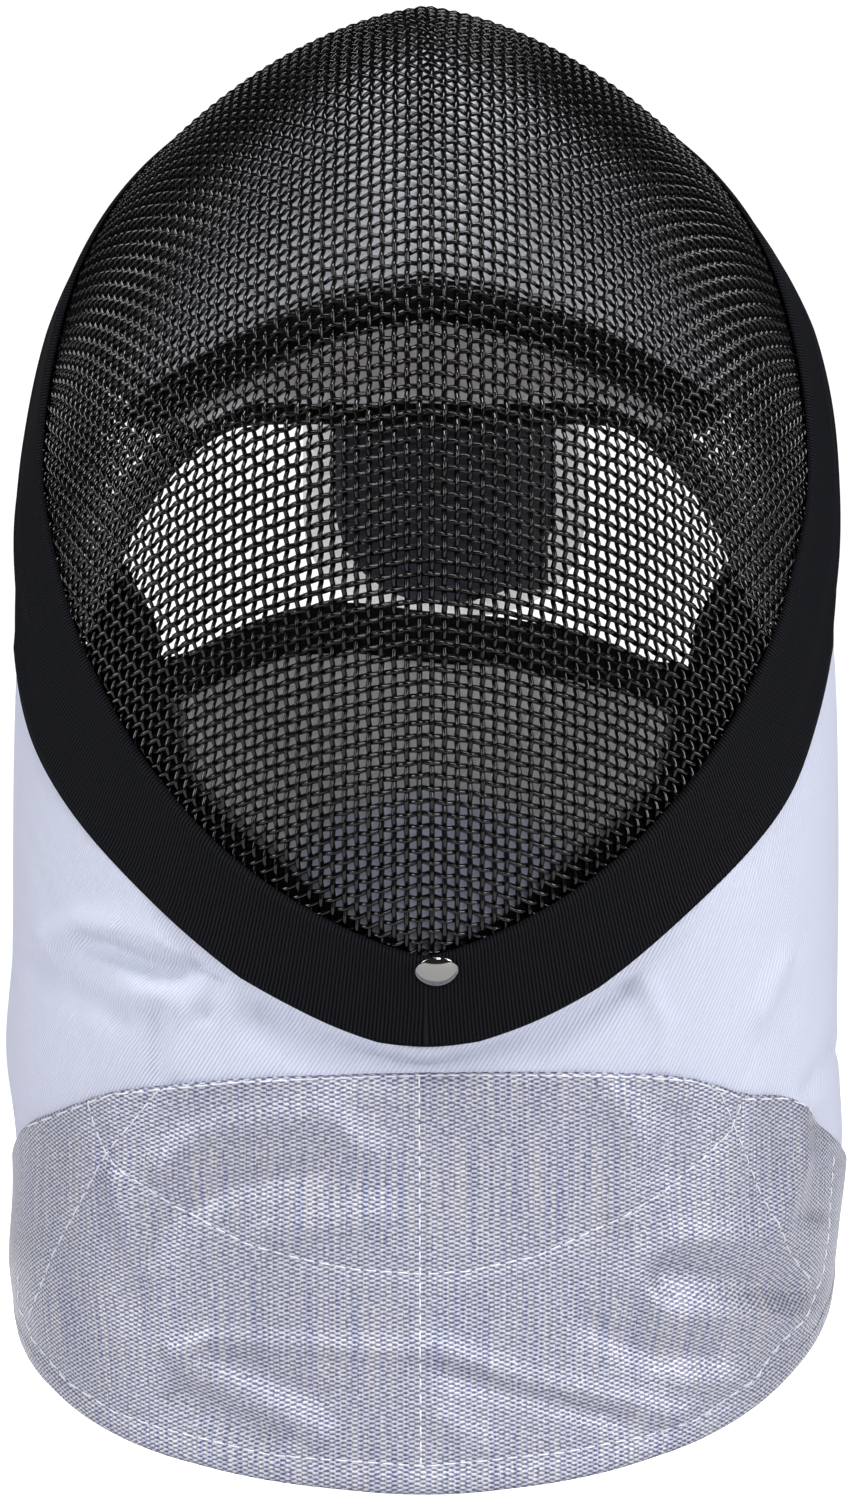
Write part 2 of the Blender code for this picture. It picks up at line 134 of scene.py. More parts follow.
def loop(angle, reach):
    """Place on the unrolled dome at an angle round from the crown; reach 1 is the band's inner edge."""
    c = np.cos(angle)
    s = np.sin(angle)
    length = np.where(c > 0, LOOP_TO_CROWN, LOOP_TO_CHIN)
    u = reach * LOOP_HALF_WIDTH * np.sign(s) * np.abs(s) ** LOOP_POWER
    return u, LOOP_CENTRE + reach * length * upright_share(c)


def read_table(table, where, spread):
    """Columns of a table at signed places, averaged over a spread so that its corners are round."""
    columns = np.zeros((table.shape[1] - 1,) + np.shape(where))
    shifts = np.linspace(-spread, spread, 7)
    for shift in shifts:
        place = where + shift
        for k in range(1, table.shape[1]):
            value = np.interp(np.abs(place), table[:, 0], table[:, k])
            columns[k - 1] += value * (np.sign(place) if k == 1 else 1) / len(shifts)
    return columns


def rear_edge(angle):
    """Point of the rear edge and the wall's fullness there."""
    turned = np.degrees(np.arctan2(np.sin(angle), np.cos(angle)))
    x, y, z, fullness = read_table(REAR_EDGE, turned, 9)
    return np.stack([x, y, z], axis=-1) * MM, fullness


def unit(vectors):
    """Vectors divided by their own length."""
    return vectors / np.maximum(np.linalg.norm(vectors, axis=-1, keepdims=True), 1e-12)


def travelled(points, axis=0):
    """Distance walked from the first point, along one axis of a line or grid of points."""
    steps = np.linalg.norm(np.diff(points, axis=axis), axis=-1)
    return np.concatenate([0 * np.take(points[..., 0], [0], axis), np.cumsum(steps, axis)], axis)


def dome(angle, s):
    """Face up to s = 1, then the three-pole curve (1-w)^2 A + 2w(1-w) B + w^2 C with w = s - 1."""
    angle, s = alike(angle, s)
    on_face = face(*loop(angle, np.minimum(s, 1) * BAND_REACH))
    start = face(*loop(angle, np.full_like(s, BAND_REACH)))
    inside = face(*loop(angle, np.full_like(s, BAND_REACH * 0.985)))
    end, fullness = rear_edge(angle)
    span = np.linalg.norm(end - start, axis=-1)
    middle = start + unit(start - inside) * (fullness * span)[..., None]
    w = np.maximum(s - 1, 0)[..., None]
    on_wall = (1 - w) ** 2 * start + 2 * w * (1 - w) * middle + w ** 2 * end
    return np.where((s <= 1)[..., None], on_face, on_wall)


def outward(surface, a, b):
    """Unit normals of a surface: the cross product of its two slopes, turned away from the head."""
    across = surface(a + SLOPE_STEP, b) - surface(a - SLOPE_STEP, b)
    along = surface(a, b + SLOPE_STEP) - surface(a, b - SLOPE_STEP)
    normal = unit(np.cross(across, along))
    away = np.sum(normal * (surface(a, b) - HEAD_CENTRE), axis=-1, keepdims=True)
    return normal * np.where(away < 0, -1.0, 1.0)


def offset(surface, a, b, depth):
    """Points of a surface moved along its outward normals."""
    return surface(a, b) + outward(surface, a, b) * np.asarray(depth)[..., None]


print("crown of the dome at", np.round(dome(0.0, 1.0) * 1000, 1), "mm")

# %% [markdown]
# ## Helpers that make meshes
# Grids are turned into quads with index arithmetic on whole arrays. `shell` makes a closed wall with
# rounded rims: an outer and an inner copy of the surface that meet along the edge. Its point attribute
# `inside` is 0 outside and 1 inside. `ring_skin` carries a closed profile along a path.

# %% Meshes from grids
def mesh_object(name, points, quads, uv=None):
    """Object from a list of points and of quads, with an optional UV per point, smooth shaded."""
    mesh = bpy.data.meshes.new(name)
    mesh.vertices.add(len(points))
    mesh.vertices.foreach_set("co", np.ascontiguousarray(points, dtype=np.float32).ravel())
    mesh.loops.add(quads.size)
    mesh.loops.foreach_set("vertex_index", np.ascontiguousarray(quads, dtype=np.int32).ravel())
    mesh.polygons.add(len(quads))
    mesh.polygons.foreach_set("loop_start", np.arange(0, quads.size, 4, dtype=np.int32))
    if uv is not None:
        layer = mesh.uv_layers.new(name="UVMap")
        layer.uv.foreach_set("vector", np.ascontiguousarray(uv[quads.ravel()], dtype=np.float32).ravel())
    mesh.update(calc_edges=True)
    mesh.validate()
    mesh.shade_smooth()
    thing = bpy.data.objects.new(name, mesh)
    bpy.context.scene.collection.objects.link(thing)
    return thing


def grid_quads(rows, columns, close_rows=False, close_columns=False):
    """Corner numbers of the quads of a grid, joined round where asked."""
    i = np.arange(rows if close_rows else rows - 1)
    j = np.arange(columns if close_columns else columns - 1)
    i, j = np.meshgrid(i, j, indexing="ij")
    i, j = i.ravel(), j.ravel()
    k, m = (i + 1) % rows, (j + 1) % columns
    return np.stack([i * columns + j, i * columns + m, k * columns + m, k * columns + j], axis=1)


def facing_out(points, quads, away_from):
    """Quads turned so that most of them point away from a place, or from a place per point."""
    a, b, c, d = (points[quads[:, k]] for k in range(4))
    normal = np.cross(c - a, d - b)
    middle = (a + b + c + d) / 4
    core = away_from if away_from.ndim == 1 else away_from[quads[:, 0]]
    return quads if np.sum(normal * (middle - core)) > 0 else quads[:, ::-1]


def edge_distance(points):
    """Distance along the grid's own lines from the nearest rim."""
    down, side = travelled(points), travelled(points, 1)
    return np.minimum(np.minimum(down, down[-1:] - down), np.minimum(side, side[:, -1:] - side))


def grid_normals(points):
    """Unit normals of a grid of points from its neighbours' differences, turned away from the head."""
    normal = unit(np.cross(np.gradient(points, axis=1), np.gradient(points, axis=0)))
    return -normal if np.sum(normal * (points - HEAD_CENTRE)) < 0 else normal


def shell(name, outer, thick, rim, uv=None):
    """Closed wall: outer and inner grid meet at the rim, where thickness grows like a quarter circle."""
    rows, columns = outer.shape[:2]
    near = ramp(edge_distance(outer) / rim)
    normal = grid_normals(outer) * (thick / 2)
    middle = outer - normal
    swell = np.sqrt(1 - (1 - near) ** 2)[..., None]
    faces = np.concatenate([middle + normal * swell, middle - normal * swell]).reshape(-1, 3)
    numbers = np.arange(rows * columns).reshape(rows, columns)
    inner_numbers = numbers + rows * columns
    for rim_line in (np.s_[0], np.s_[-1], np.s_[:, 0], np.s_[:, -1]):
        inner_numbers[rim_line] = numbers[rim_line]
    outer_quads = facing_out(faces, grid_quads(rows, columns), HEAD_CENTRE)
    every = np.concatenate([outer_quads, inner_numbers.ravel()[outer_quads][:, ::-1]])
    used = np.zeros(len(faces), bool)
    used[every] = True
    renumber = np.cumsum(used) - 1
    if uv is None:
        uv = np.stack(np.meshgrid(np.arange(columns), np.arange(rows)), axis=-1) / max(rows, columns)
    thing = mesh_object(name, faces[used], renumber[every], np.tile(uv.reshape(-1, 2), (2, 1))[used])
    inside = np.repeat([0.0, 1.0], rows * columns)[used].astype(np.float32)
    thing.data.attributes.new("inside", "FLOAT", "POINT").data.foreach_set("value", inside)
    return thing


def ring_skin(name, grid, uv=None, core=None, cap_depth=0, wrap=True):
    """Closed profile (first axis) carried along a path (second); an open path's ends get strips of quads."""
    rows, columns = grid.shape[:2]
    points = grid.reshape(-1, 3)
    middle = np.broadcast_to(grid.mean(axis=0), grid.shape) if core is None else core
    quads = facing_out(points, grid_quads(rows, columns, True, wrap), middle.reshape(-1, 3))
    if not wrap:
        i = np.arange(cap_depth)
        strip = np.stack([i, i + 1, rows - 2 - i, rows - 1 - i], axis=1) * columns
        first = facing_out(points, strip, grid[:, 1].mean(axis=0))
        last = facing_out(points, strip + columns - 1, grid[:, -2].mean(axis=0))
        quads = np.concatenate([quads, first, last])
    return mesh_object(name, points, quads, None if uv is None else uv.reshape(-1, 2))


# %% [markdown]
# ## Materials
# Colours are picked as sRGB hex and turned to linear by one function. `add` puts a node in a tree with
# its settings and links, so each material reads as a short list of what its surface does. Where a node
# itself is named as a source, its usual output is meant.

# %% Colour and node helpers
USUAL_OUTPUTS = ("Object", "Fac", "Result", "UV")


def linear(code):
    """sRGB hex to linear: (c / 12.92) below 0.04045, else ((c + 0.055) / 1.055) to the power 2.4."""
    values = np.array([int(code[k:k + 2], 16) for k in (1, 3, 5)]) / 255
    values = np.where(values <= 0.04045, values / 12.92, ((values + 0.055) / 1.055) ** 2.4)
    return (*values.tolist(), 1.0)


def feed(tree, entry, source):
    """Sets a socket: a hex code, number or row of numbers as its value, a node or an output as a link."""
    if isinstance(source, str):
        entry.default_value = linear(source)
    elif isinstance(source, (int, float, tuple)):
        entry.default_value = source
    elif isinstance(source, bpy.types.NodeSocket):
        tree.links.new(source, entry)
    else:
        named = [name for name in USUAL_OUTPUTS if name in source.outputs]
        tree.links.new(source.outputs[named[0] if named else 0], entry)


def add(tree, kind, *sources, **settings):
    """Adds a node. Sources feed its first sockets in order; settings name its properties or sockets."""
    node = tree.nodes.new("ShaderNode" + kind)
    for key, value in settings.items():
        if hasattr(node, key):
            setattr(node, key, value)
        else:
            feed(tree, node.inputs[key.replace("_", " ")], value)
    for entry, source in zip(node.inputs, sources):
        feed(tree, entry, source)
    return node


def paint(name, base, roughness, metallic=0.0, ior=1.5, **sockets):
    """Material with one shader; further sockets are set by name, with underscores for spaces."""
    material = bpy.data.materials.new(name)
    material.use_nodes = True
    tree = material.node_tree
    shader = tree.nodes["Principled BSDF"]
    sockets.update(Base_Color=base, Roughness=roughness, Metallic=metallic, IOR=ior)
    for key, value in sockets.items():
        feed(tree, shader.inputs[key.replace("_", " ")], value)
    return material, tree, shader


def cloth_uv(tree):
    """The piece's own UV, in mm or in shares of its size."""
    return add(tree, "UVMap", uv_map="UVMap")


def tint(tree, shader, *mix):
    """Colours the shader by a factor between two colours, each a hex code or a node."""
    feed(tree, shader.inputs["Base Color"], add(tree, "MixRGB", *mix))


def bump(tree, shader, height, strength, distance):
    """Feeds a height into the shader's normal."""
    raised = add(tree, "Bump", Height=height, Strength=strength, Distance=distance)
    feed(tree, shader.inputs["Normal"], raised)


def dress(thing, material, slot, *nodes):
    """Gives a piece its material and its body, and hides the CAD nodes that it stands for. The slot is not
    used.
    """
    thing.data.materials.append(material)
    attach(thing, "root")
    if nodes:
        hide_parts(*nodes)
    print(thing.name, len(thing.data.polygons), "faces")
    return thing


# %% [markdown]
# ## Woven wire
# The mask's mesh is steel wire woven over and under at a pitch of 3.1 mm. It is drawn 1.16 mm thick,
# paint and all. The weave is modelled for real: each wire is a thin tube whose middle line swings to
# one side of the surface and back, and the wires across it swing the opposite way.

# %% Painted wire
# Steel wire under black stove enamel: dark, with a tight soft highlight on each bend.
# Enamel has an IOR of about 1.5 and no metallic share of its own.
WIRE_PAINT, tree, shader = paint("black_enamelled_wire", "#030304", 0.14, ior=1.5)
wear = add(tree, "TexNoise", add(tree, "TexCoord"), Scale=900.0, Detail=2.0)
feed(tree, shader.inputs["Roughness"], add(tree, "MapRange", wear, To_Min=0.10, To_Max=0.22))

# %% Tubes along the surface
WIRE_PITCH = 3.1 * MM
WIRE_RADIUS = 0.58 * MM
CRIMP = 0.58 * MM
WIRE_MIDDLE = -(WIRE_RADIUS + CRIMP)
WIRE_WIDEN = 1.15  # a four-sided tube looks thinner than a round one, so the face's are drawn wider


def tube(path, normal, radius, sides, closed=False, widen=1.0):
    """Rings round a path, in the plane of the surface normal and the direction across the path."""
    if closed:
        forward = unit(np.roll(path, -1, axis=0) - np.roll(path, 1, axis=0))
    else:
        forward = unit(np.gradient(path, axis=0))
    sideways = unit(np.cross(forward, normal))
    lifted = np.cross(sideways, forward)
    turn = np.arange(sides) * 2 * math.pi / sides
    ring = widen * sideways[:, None] * np.cos(turn)[:, None] + lifted[:, None] * np.sin(turn)[:, None]
    points = path[:, None] + radius * ring
    points = points.reshape(-1, 3)
    quads = facing_out(points, grid_quads(len(path), sides, closed, True), np.repeat(path, sides, axis=0))
    if not closed:
        corners = np.array([[0, k, k + 1, k + 2] for k in range(1, sides - 2, 2)])
        first = facing_out(points, corners, path[1])
        last = facing_out(points, corners + (len(path) - 1) * sides, path[-2])
        quads = np.concatenate([quads, first, last])
    return points, quads


def bundle(name, tubes):
    """One mesh from many tubes, their corner numbers shifted past those before."""
    shift = np.cumsum([0] + [len(points) for points, _ in tubes[:-1]])
    points = np.concatenate([points for points, _ in tubes])
    quads = np.concatenate([quads + start for (_, quads), start in zip(tubes, shift)])
    return mesh_object(name, points, quads)


# %% [markdown]
# The face's wires follow the two arcs `u` and `v` of the dome. Each is cut where it meets the lemon
# line a little under the band, so its end is hidden.

# %% Face wires
def loop_half_width(v, reach):
    """Half width of the lemon at height v: the angle is read back from the height."""
    c = np.linspace(-1, 1, 4001)
    length = np.where(v > LOOP_CENTRE, LOOP_TO_CROWN, LOOP_TO_CHIN)
    here = np.interp((v - LOOP_CENTRE) / (reach * length), upright_share(c), c)
    return reach * LOOP_HALF_WIDTH * (1 - here ** 2) ** (LOOP_POWER / 2)


def loop_heights(u, reach):
    """Lowest and highest v of the lemon at a distance u from the ridge."""
    sine = ramp(np.abs(u) / (reach * LOOP_HALF_WIDTH)) ** (1 / LOOP_POWER)
    c = np.sqrt(1 - sine ** 2)
    low = LOOP_CENTRE + reach * LOOP_TO_CHIN * upright_share(-c)
    return low, LOOP_CENTRE + reach * LOOP_TO_CROWN * upright_share(c)


def stations(low, high, step, start=0.0):
    """Places a step apart between two limits, counted from a start, with the limits themselves."""
    first = math.ceil((low - start) / step + 0.25)
    last = math.floor((high - start) / step - 0.25)
    return np.concatenate([[low], start + np.arange(first, last + 1) * step, [high]])


def wire(surface, a, b, swing, closed=False, widen=1.0):
    """One wire's tube: the surface's points, lowered to the wire's middle and swung by the crimp."""
    normal = outward(surface, a, b)
    middle = surface(a, b) + normal * (WIRE_MIDDLE + CRIMP * swing)[:, None]
    return tube(middle, normal, WIRE_RADIUS, 4, closed, widen)


def face_wire(u, v, swing):
    """A wire of the face, drawn wider."""
    return wire(face, u, v, swing, widen=WIRE_WIDEN)


FACE_STEP = WIRE_PITCH / 3
rows, columns = [], []
row_range = range(math.ceil((LOOP_CENTRE - JOINT_REACH * LOOP_TO_CHIN) / WIRE_PITCH) + 1,
                  math.floor((LOOP_CENTRE + JOINT_REACH * LOOP_TO_CROWN) / WIRE_PITCH))
for k in row_range:
    half = float(loop_half_width(np.array(k * WIRE_PITCH), JOINT_REACH))
    u = stations(-half, half, FACE_STEP, WIRE_PITCH / 2)
    rows.append(face_wire(u, np.full_like(u, k * WIRE_PITCH), np.cos(math.pi * (u / WIRE_PITCH - 0.5 + k))))
half_count = math.floor(JOINT_REACH * LOOP_HALF_WIDTH / WIRE_PITCH)
for j in range(-half_count, half_count):
    across = (j + 0.5) * WIRE_PITCH
    low, high = (float(x) for x in loop_heights(np.array(across), JOINT_REACH))
    if high - low > 3 * WIRE_PITCH:
        v = stations(low, high, FACE_STEP)
        columns.append(face_wire(np.full_like(v, across), v, -np.cos(math.pi * (v / WIRE_PITCH + j))))
middle_row = len(rows) // 2
middle_column = len(columns) // 2
dress(bundle("face_rows_low", rows[:middle_row]), WIRE_PAINT, "painted_wire", "front_mesh")
dress(bundle("face_rows_high", rows[middle_row:]), WIRE_PAINT, "painted_wire")
dress(bundle("face_columns_left", columns[:middle_column]), WIRE_PAINT, "painted_wire")
dress(bundle("face_columns_right", columns[middle_column:]), WIRE_PAINT, "painted_wire")
print(len(rows), "rows and", len(columns), "columns of wire over the face")

# %% [markdown]
# Behind the band the same mesh bends in towards the neck. Its wires run round the head and from the
# band to the rear edge. Arc length along each section sets the spacing, so the walls that are longer at
# the crown than at the chin still keep the pitch.

# %% Rear wires
REAR_SAMPLES = 90
REAR_END = 1.99
SPACING_SECTION = 1.3  # the ribs are spaced evenly along this section
first_s = JOINT_REACH / BAND_REACH
fine_angle = np.linspace(0, 2 * math.pi, 4000)
line = dome(fine_angle, np.full_like(fine_angle, SPACING_SECTION))
run = travelled(line)
SECTIONS = 2 * round(run[-1] / WIRE_PITCH / 2)
angles = np.interp(np.arange(2 * SECTIONS) * run[-1] / (2 * SECTIONS), run, fine_angle)
fine_s = np.linspace(first_s, REAR_END, REAR_SAMPLES)
arc = travelled(dome(angles[:, None], fine_s[None, :]), 1)
ribs = []
for i in range(0, len(angles), 2):
    d = stations(0.0, float(arc[i, -1]), WIRE_PITCH / 2)
    s = np.interp(d, arc[i], fine_s)
    ribs.append(wire(dome, np.full_like(s, angles[i]), s, np.cos(math.pi * (d / WIRE_PITCH + i // 2))))
rings = []
for k in range(1, math.floor(arc[:, -1].max() / WIRE_PITCH)):
    there = arc[:, -1] > k * WIRE_PITCH
    s = np.array([np.interp(k * WIRE_PITCH, arc[j], fine_s) for j in range(len(angles))])
    swing = -np.cos(math.pi * (np.arange(len(angles)) / 2 + k))
    if there.all():
        rings.append(wire(dome, angles, s, swing, closed=True))
        continue
    start = int(np.argmax(~there))
    order = np.roll(np.arange(len(angles)), -start)
    cuts = np.flatnonzero(np.diff(there[order].astype(int)))
    for part in np.split(order, cuts + 1):
        if there[part[0]] and len(part) > 3:
            rings.append(wire(dome, np.unwrap(angles[part]), s[part], swing[part]))
dress(bundle("rear_ribs", ribs), WIRE_PAINT, "painted_wire", "rear_mesh")
dress(bundle("rear_rings", rings), WIRE_PAINT, "painted_wire")
print(len(ribs), "ribs and", len(rings), "rings behind the band")

# %% [markdown]
# ## The elastic band
# A knitted elastic tube covers the joint of the wire. It is a strap about 27 mm wide, pulled over the
# edge, with a soft fold along each side. Its closed profile is carried round the whole loop. Below the
# cheeks its outer side rides over the bib's sewn edge, so it rises and reaches further there.

# %% Elastic knit
# Polyester-covered rubber, knitted in fine ribs across the strap: black and matt, hardly any sheen.
ELASTIC, tree, shader = paint("knitted_elastic", "#121317", 0.75, Specular_IOR_Level=0.05)
RIB_PITCH = 0.9  # mm; the real ribs are 0.53 mm apart, drawn coarser so that they show
knit = add(tree, "TexWave", cloth_uv(tree), bands_direction="X", Scale=2 * math.pi / (20 * RIB_PITCH),
           Distortion=0.8, Detail=2.0, Detail_Scale=2.0)
tint(tree, shader, knit, "#020203", "#1f2025")
bump(tree, shader, knit, 0.6, 0.0003)

# %% Band round the face
def rounded(grid, steps, closed=False):
    """Running mean along the columns, weighted by a raised cosine that reaches some steps each way."""
    weights = np.hanning(2 * steps + 3)[1:-1]
    if closed:
        wide = np.concatenate([grid[:, -steps:], grid, grid[:, :steps]], axis=1)
    else:
        wide = np.concatenate([grid[:, :1].repeat(steps, 1), grid, grid[:, -1:].repeat(steps, 1)], axis=1)
    parts = [w * wide[:, k:k + grid.shape[1]] for k, w in enumerate(weights / weights.sum())]
    return sum(parts)


BAND_GAP = 0.3 * MM
BAND_THICK = 1.6 * MM
BAND_STEPS = 900
BAND_WIDTH = 27
CHIN_ROUNDING = 20  # steps of the band each way
# Degrees from the chin, then how far the strap is lifted (mm) at the left and right, and how much
# further its outer edge reaches at the left and right.
STRAP_FIT = np.array([
    (0, 0, 0, -4.2, -4.2), (6, 0, 0, -3.2, -3.1), (12, 0, 0, -1.0, -1.1), (18, 0, 0, 0.9, 0.8),
    (24, 0, 0, -0.8, -0.9), (30, 0, 0, -3.1, -3.0), (36, 0, 0, -4.0, -4.0), (42, 0.1, 0.1, -2.5, -2.4),
    (48, 0.7, 0.7, -0.2, 0.2), (54, 2.2, 1.7, 2.5, 2.2), (60, 2.7, 1.1, 3.5, 1.4),
    (66, 2.6, 1.3, 2.1, 0.7), (72, 1.9, 1.7, 0.6, 0.3), (82, 1.3, 2.0, 0, 0), (90, 0.6, 2.1, 0, 0),
    (100, -0.4, 2.2, 0, 0), (110, -0.9, 1.6, 0, 0), (120, -0.9, 0.5, 0, 0), (130, -0.4, 0, 0, 0),
    (140, 0, 0, 0, 0), (180, 0, 0, 0, 0),
], float)
STRAP_SMOOTH = 16
STRAP_BACK = 0.034  # over the crown the strap lies this share of the dome further back
STRAP_THIN = 0.5  # and it is stretched this much thinner there
STRAP_OVER_BIB = 2.1 * MM  # its lower rim rides up so far over the bib's sewn edge
STRAP_MIDDLE = 0.93  # on the dome's scale
# shares of the strap's width: its rounded rim, then the place and half width of the fold inside it
STRAP_RIM, STRAP_FOLD, STRAP_FOLD_HALF = 0.06, 0.11, 0.035
STRAP_FLAT, STRAP_RAISED = 0.78, 0.22  # shares of the thickness: between the folds, and added on them
LOWER_RIM = 0.12  # share of the width
RIM_OUT, RIM_OUT_OVER_BIB = 0.4, 0.9  # mm that the lower rim reaches out, and further over the bib
RIPPLE = 0.12 * MM
# degrees from the chin
RIDES_TO, RIDES_BLEND = 74, 6
LIES_BACK_FROM, LIES_BACK_BLEND = 100, 32
CHIN_CORNER = 12
SIDE_BLEND = 8  # degrees over which the left side's fit turns into the right's
OUTER_POINTS, INNER_POINTS = 21, 3  # of the strap's closed profile
across = np.linspace(0, 1, OUTER_POINTS)
share = np.concatenate([across, np.linspace(1, 0, INNER_POINTS + 2)[1:-1]])[:, None]
outside = np.repeat([1.0, 0.0], [OUTER_POINTS, INNER_POINTS])[:, None]


def band_height(w):
    """Thickness across the strap: a rounded rim, a raised fold 3 mm from each edge, a flat middle."""
    from_edge = np.minimum(w, 1 - w)
    rim = np.sqrt(1 - (1 - ramp(from_edge / STRAP_RIM)) ** 2)
    fold = np.exp(-((from_edge - STRAP_FOLD) / STRAP_FOLD_HALF) ** 2)
    return BAND_THICK * rim * (STRAP_FLAT + STRAP_RAISED * fold)


angle = np.linspace(0, 2 * math.pi, BAND_STEPS, endpoint=False)
run = travelled(dome(angle, np.full_like(angle, STRAP_MIDDLE))) / MM
from_chin = np.abs(np.degrees(angle) - 180)
over_bib = ramp((RIDES_TO - from_chin) / RIDES_BLEND)  # the bib's edge lies under it up to the cheeks
on_right = ramp((180 - np.degrees(angle)) / SIDE_BLEND + 0.5) * ramp(np.degrees(angle) / SIDE_BLEND + 0.5)
fit = np.array([np.interp(from_chin, STRAP_FIT[:, 0], STRAP_FIT[:, k]) for k in range(1, 5)]) * MM
fit = fit[::2] * (1 - on_right) + fit[1::2] * on_right
fit_lift, fit_reach = rounded(fit, STRAP_SMOOTH, True)
over_crown = ramp((from_chin - LIES_BACK_FROM) / LIES_BACK_BLEND)
over_crown = over_crown ** 2 * (3 - 2 * over_crown)  # starts and ends softly
turned = angle[None, :] + 0 * share
rim = ramp((share - (1 - LOWER_RIM)) / LOWER_RIM) ** 1.5
swell = ramp(share / 0.6) ** 2
thick = band_height(share) * (1 - STRAP_THIN * over_crown)
# long, shallow waves where the strap isn't stretched
ripple = RIPPLE * np.sin(run / 9.0 + 3 * np.sin(run / 37.0)) * (1 - over_crown)
lift = BAND_GAP * (1 - 0.5 * over_crown) + rim * over_bib * STRAP_OVER_BIB + swell * fit_lift
lift = lift + outside * (thick + ripple)
last = np.ones_like(angle)
past = unit(dome(angle, last) - dome(angle, last - 0.02))
reach = rim * (RIM_OUT + RIM_OUT_OVER_BIB * over_bib) * MM + share ** 2 * fit_reach
depth = 1 / BAND_REACH + (1 - 1 / BAND_REACH) * share + STRAP_BACK * over_crown
grid = offset(dome, turned, depth, lift) + reach[..., None] * past
# the strap cannot follow the ridge's sharp corner at the chin: a running mean rounds it there
at_chin = (ramp(share * 2 - 1) * np.exp(-(from_chin / CHIN_CORNER) ** 2))[..., None]
grid = grid + (rounded(grid, CHIN_ROUNDING, True) - grid) * at_chin
band_uv = np.stack(alike(run[None, :], share * BAND_WIDTH), axis=-1)
dress(ring_skin("elastic_band", grid, band_uv), ELASTIC, "black_elastic", "edge_band")

# %% [markdown]
# ## The rivet
# One nickel-plated rivet pins the band to the chin. A turned profile is spun round its axis, and its
# two poles are closed by quads that share the pole.

# %% Rivet
# Bright nickel plate: a warm grey metal, nearly a mirror.
NICKEL, tree, shader = paint("polished_nickel", "#9c9b99", 0.08, metallic=1.0)
RIVET_RADIUS = 5.2 * MM
RIVET_EDGE = math.radians(48)
RIVET_RIM = 0.4 * MM
RIVET_TILT = -0.22
RIVET_SIDES = 64


def spin(name, radius, height, seat, axis):
    """Rings of a turned profile round an axis, closed at both poles."""
    turn = np.arange(RIVET_SIDES) * 2 * math.pi / RIVET_SIDES
    side = unit(np.cross(axis, [0.0, 0.0, 1.0]))
    ring = side * np.cos(turn)[:, None] + np.cross(side, axis) * np.sin(turn)[:, None]
    grid = seat + radius[:, None, None] * ring[None] + height[:, None, None] * axis
    top, bottom = (seat + axis * height[k] for k in (0, -1))
    points = np.concatenate([grid.reshape(-1, 3), [top, bottom]])
    pole = len(points) - 2
    j = np.arange(0, RIVET_SIDES, 2)
    last = (len(radius) - 1) * RIVET_SIDES
    fan = np.stack([pole + 0 * j, j, j + 1, (j + 2) % RIVET_SIDES], axis=1)
    under = np.stack([pole + 1 + 0 * j, last + j, last + j + 1, last + (j + 2) % RIVET_SIDES], axis=1)
    core = seat + axis * height.mean()
    parts = [grid_quads(len(radius), RIVET_SIDES, False, True), fan, under]
    return mesh_object(name, points, np.concatenate([facing_out(points, part, core) for part in parts]))


rise = np.linspace(0.06, 1, 14) * RIVET_EDGE
ball = RIVET_RADIUS / math.sin(RIVET_EDGE)
radius = np.concatenate([ball * np.sin(rise), [RIVET_RADIUS * 1.01, RIVET_RADIUS * 0.96]])
height = np.concatenate([RIVET_RIM + ball * (np.cos(rise) - math.cos(RIVET_EDGE)), [RIVET_RIM * 0.6, 0.0]])
seat_u, seat_v = np.array(2.6 * MM), np.array(-90.3 * MM)
seat_normal = outward(face, seat_u, seat_v)
axis = unit(seat_normal + np.array([0, 0, RIVET_TILT]))
seat = face(seat_u, seat_v) + seat_normal * (BAND_GAP + BAND_THICK)
dress(spin("rivet", radius, height, seat, axis), NICKEL, "polished_nickel", "chin_rivet")

# %% [markdown]
# ## Tape bindings
# Raw edges of the wire and of the linings are bound with black tape folded over them. The tape's
# profile is a closed U, so it has a wall of its own, and it follows the edge.

# %% Binding tape
# Woven polyester tape: black and matt, with fine cross ribs.
TAPE, tree, shader = paint("black_binding_tape", "#0b0b0d", 0.82, Specular_IOR_Level=0.15)
grain = add(tree, "TexWave", cloth_uv(tree), bands_direction="X", Scale=0.35, Distortion=0.6)
bump(tree, shader, grain, 0.4, 0.0003)


def tape(name, edge, out, normal, half_gap, reach, thick, wrap):
    """Outer and inner U, each from -reach round a half circle past the edge, joined and carried along."""
    turn = np.linspace(0, math.pi, 9)

    def u_line(gap):
        along = np.concatenate([[-reach, -reach / 2], gap * np.sin(turn), [-reach / 2, -reach]])
        lift = np.concatenate([[gap, gap], gap * np.cos(turn), [-gap, -gap]])
        return np.stack([along, lift])

    def carried(shape):
        return edge + shape[0][:, None, None] * out + shape[1][:, None, None] * normal

    outer, inner = u_line(half_gap + thick), u_line(half_gap)
    middle = (outer + inner) / 2
    profile = np.concatenate([outer, inner[:, ::-1]], axis=1)
    core = carried(np.concatenate([middle, middle[:, ::-1]], axis=1))
    uv = np.stack(alike(travelled(edge)[None, :], profile[0][:, None]), axis=-1) / MM
    return ring_skin(name, carried(profile), uv, core, outer.shape[1] - 1, wrap)


def edge_frame(surface, a, s, inner_s, depth):
    """A lining's edge in the middle of its pad, the way out past it and the normal, for a tape."""
    normal = outward(surface, a, s)
    edge = offset(surface, a, s, -depth(a, s))
    out = unit(edge - offset(surface, a, inner_s, -depth(a, inner_s)))
    out = unit(out - normal * np.sum(out * normal, axis=-1, keepdims=True))
    return edge, out, normal


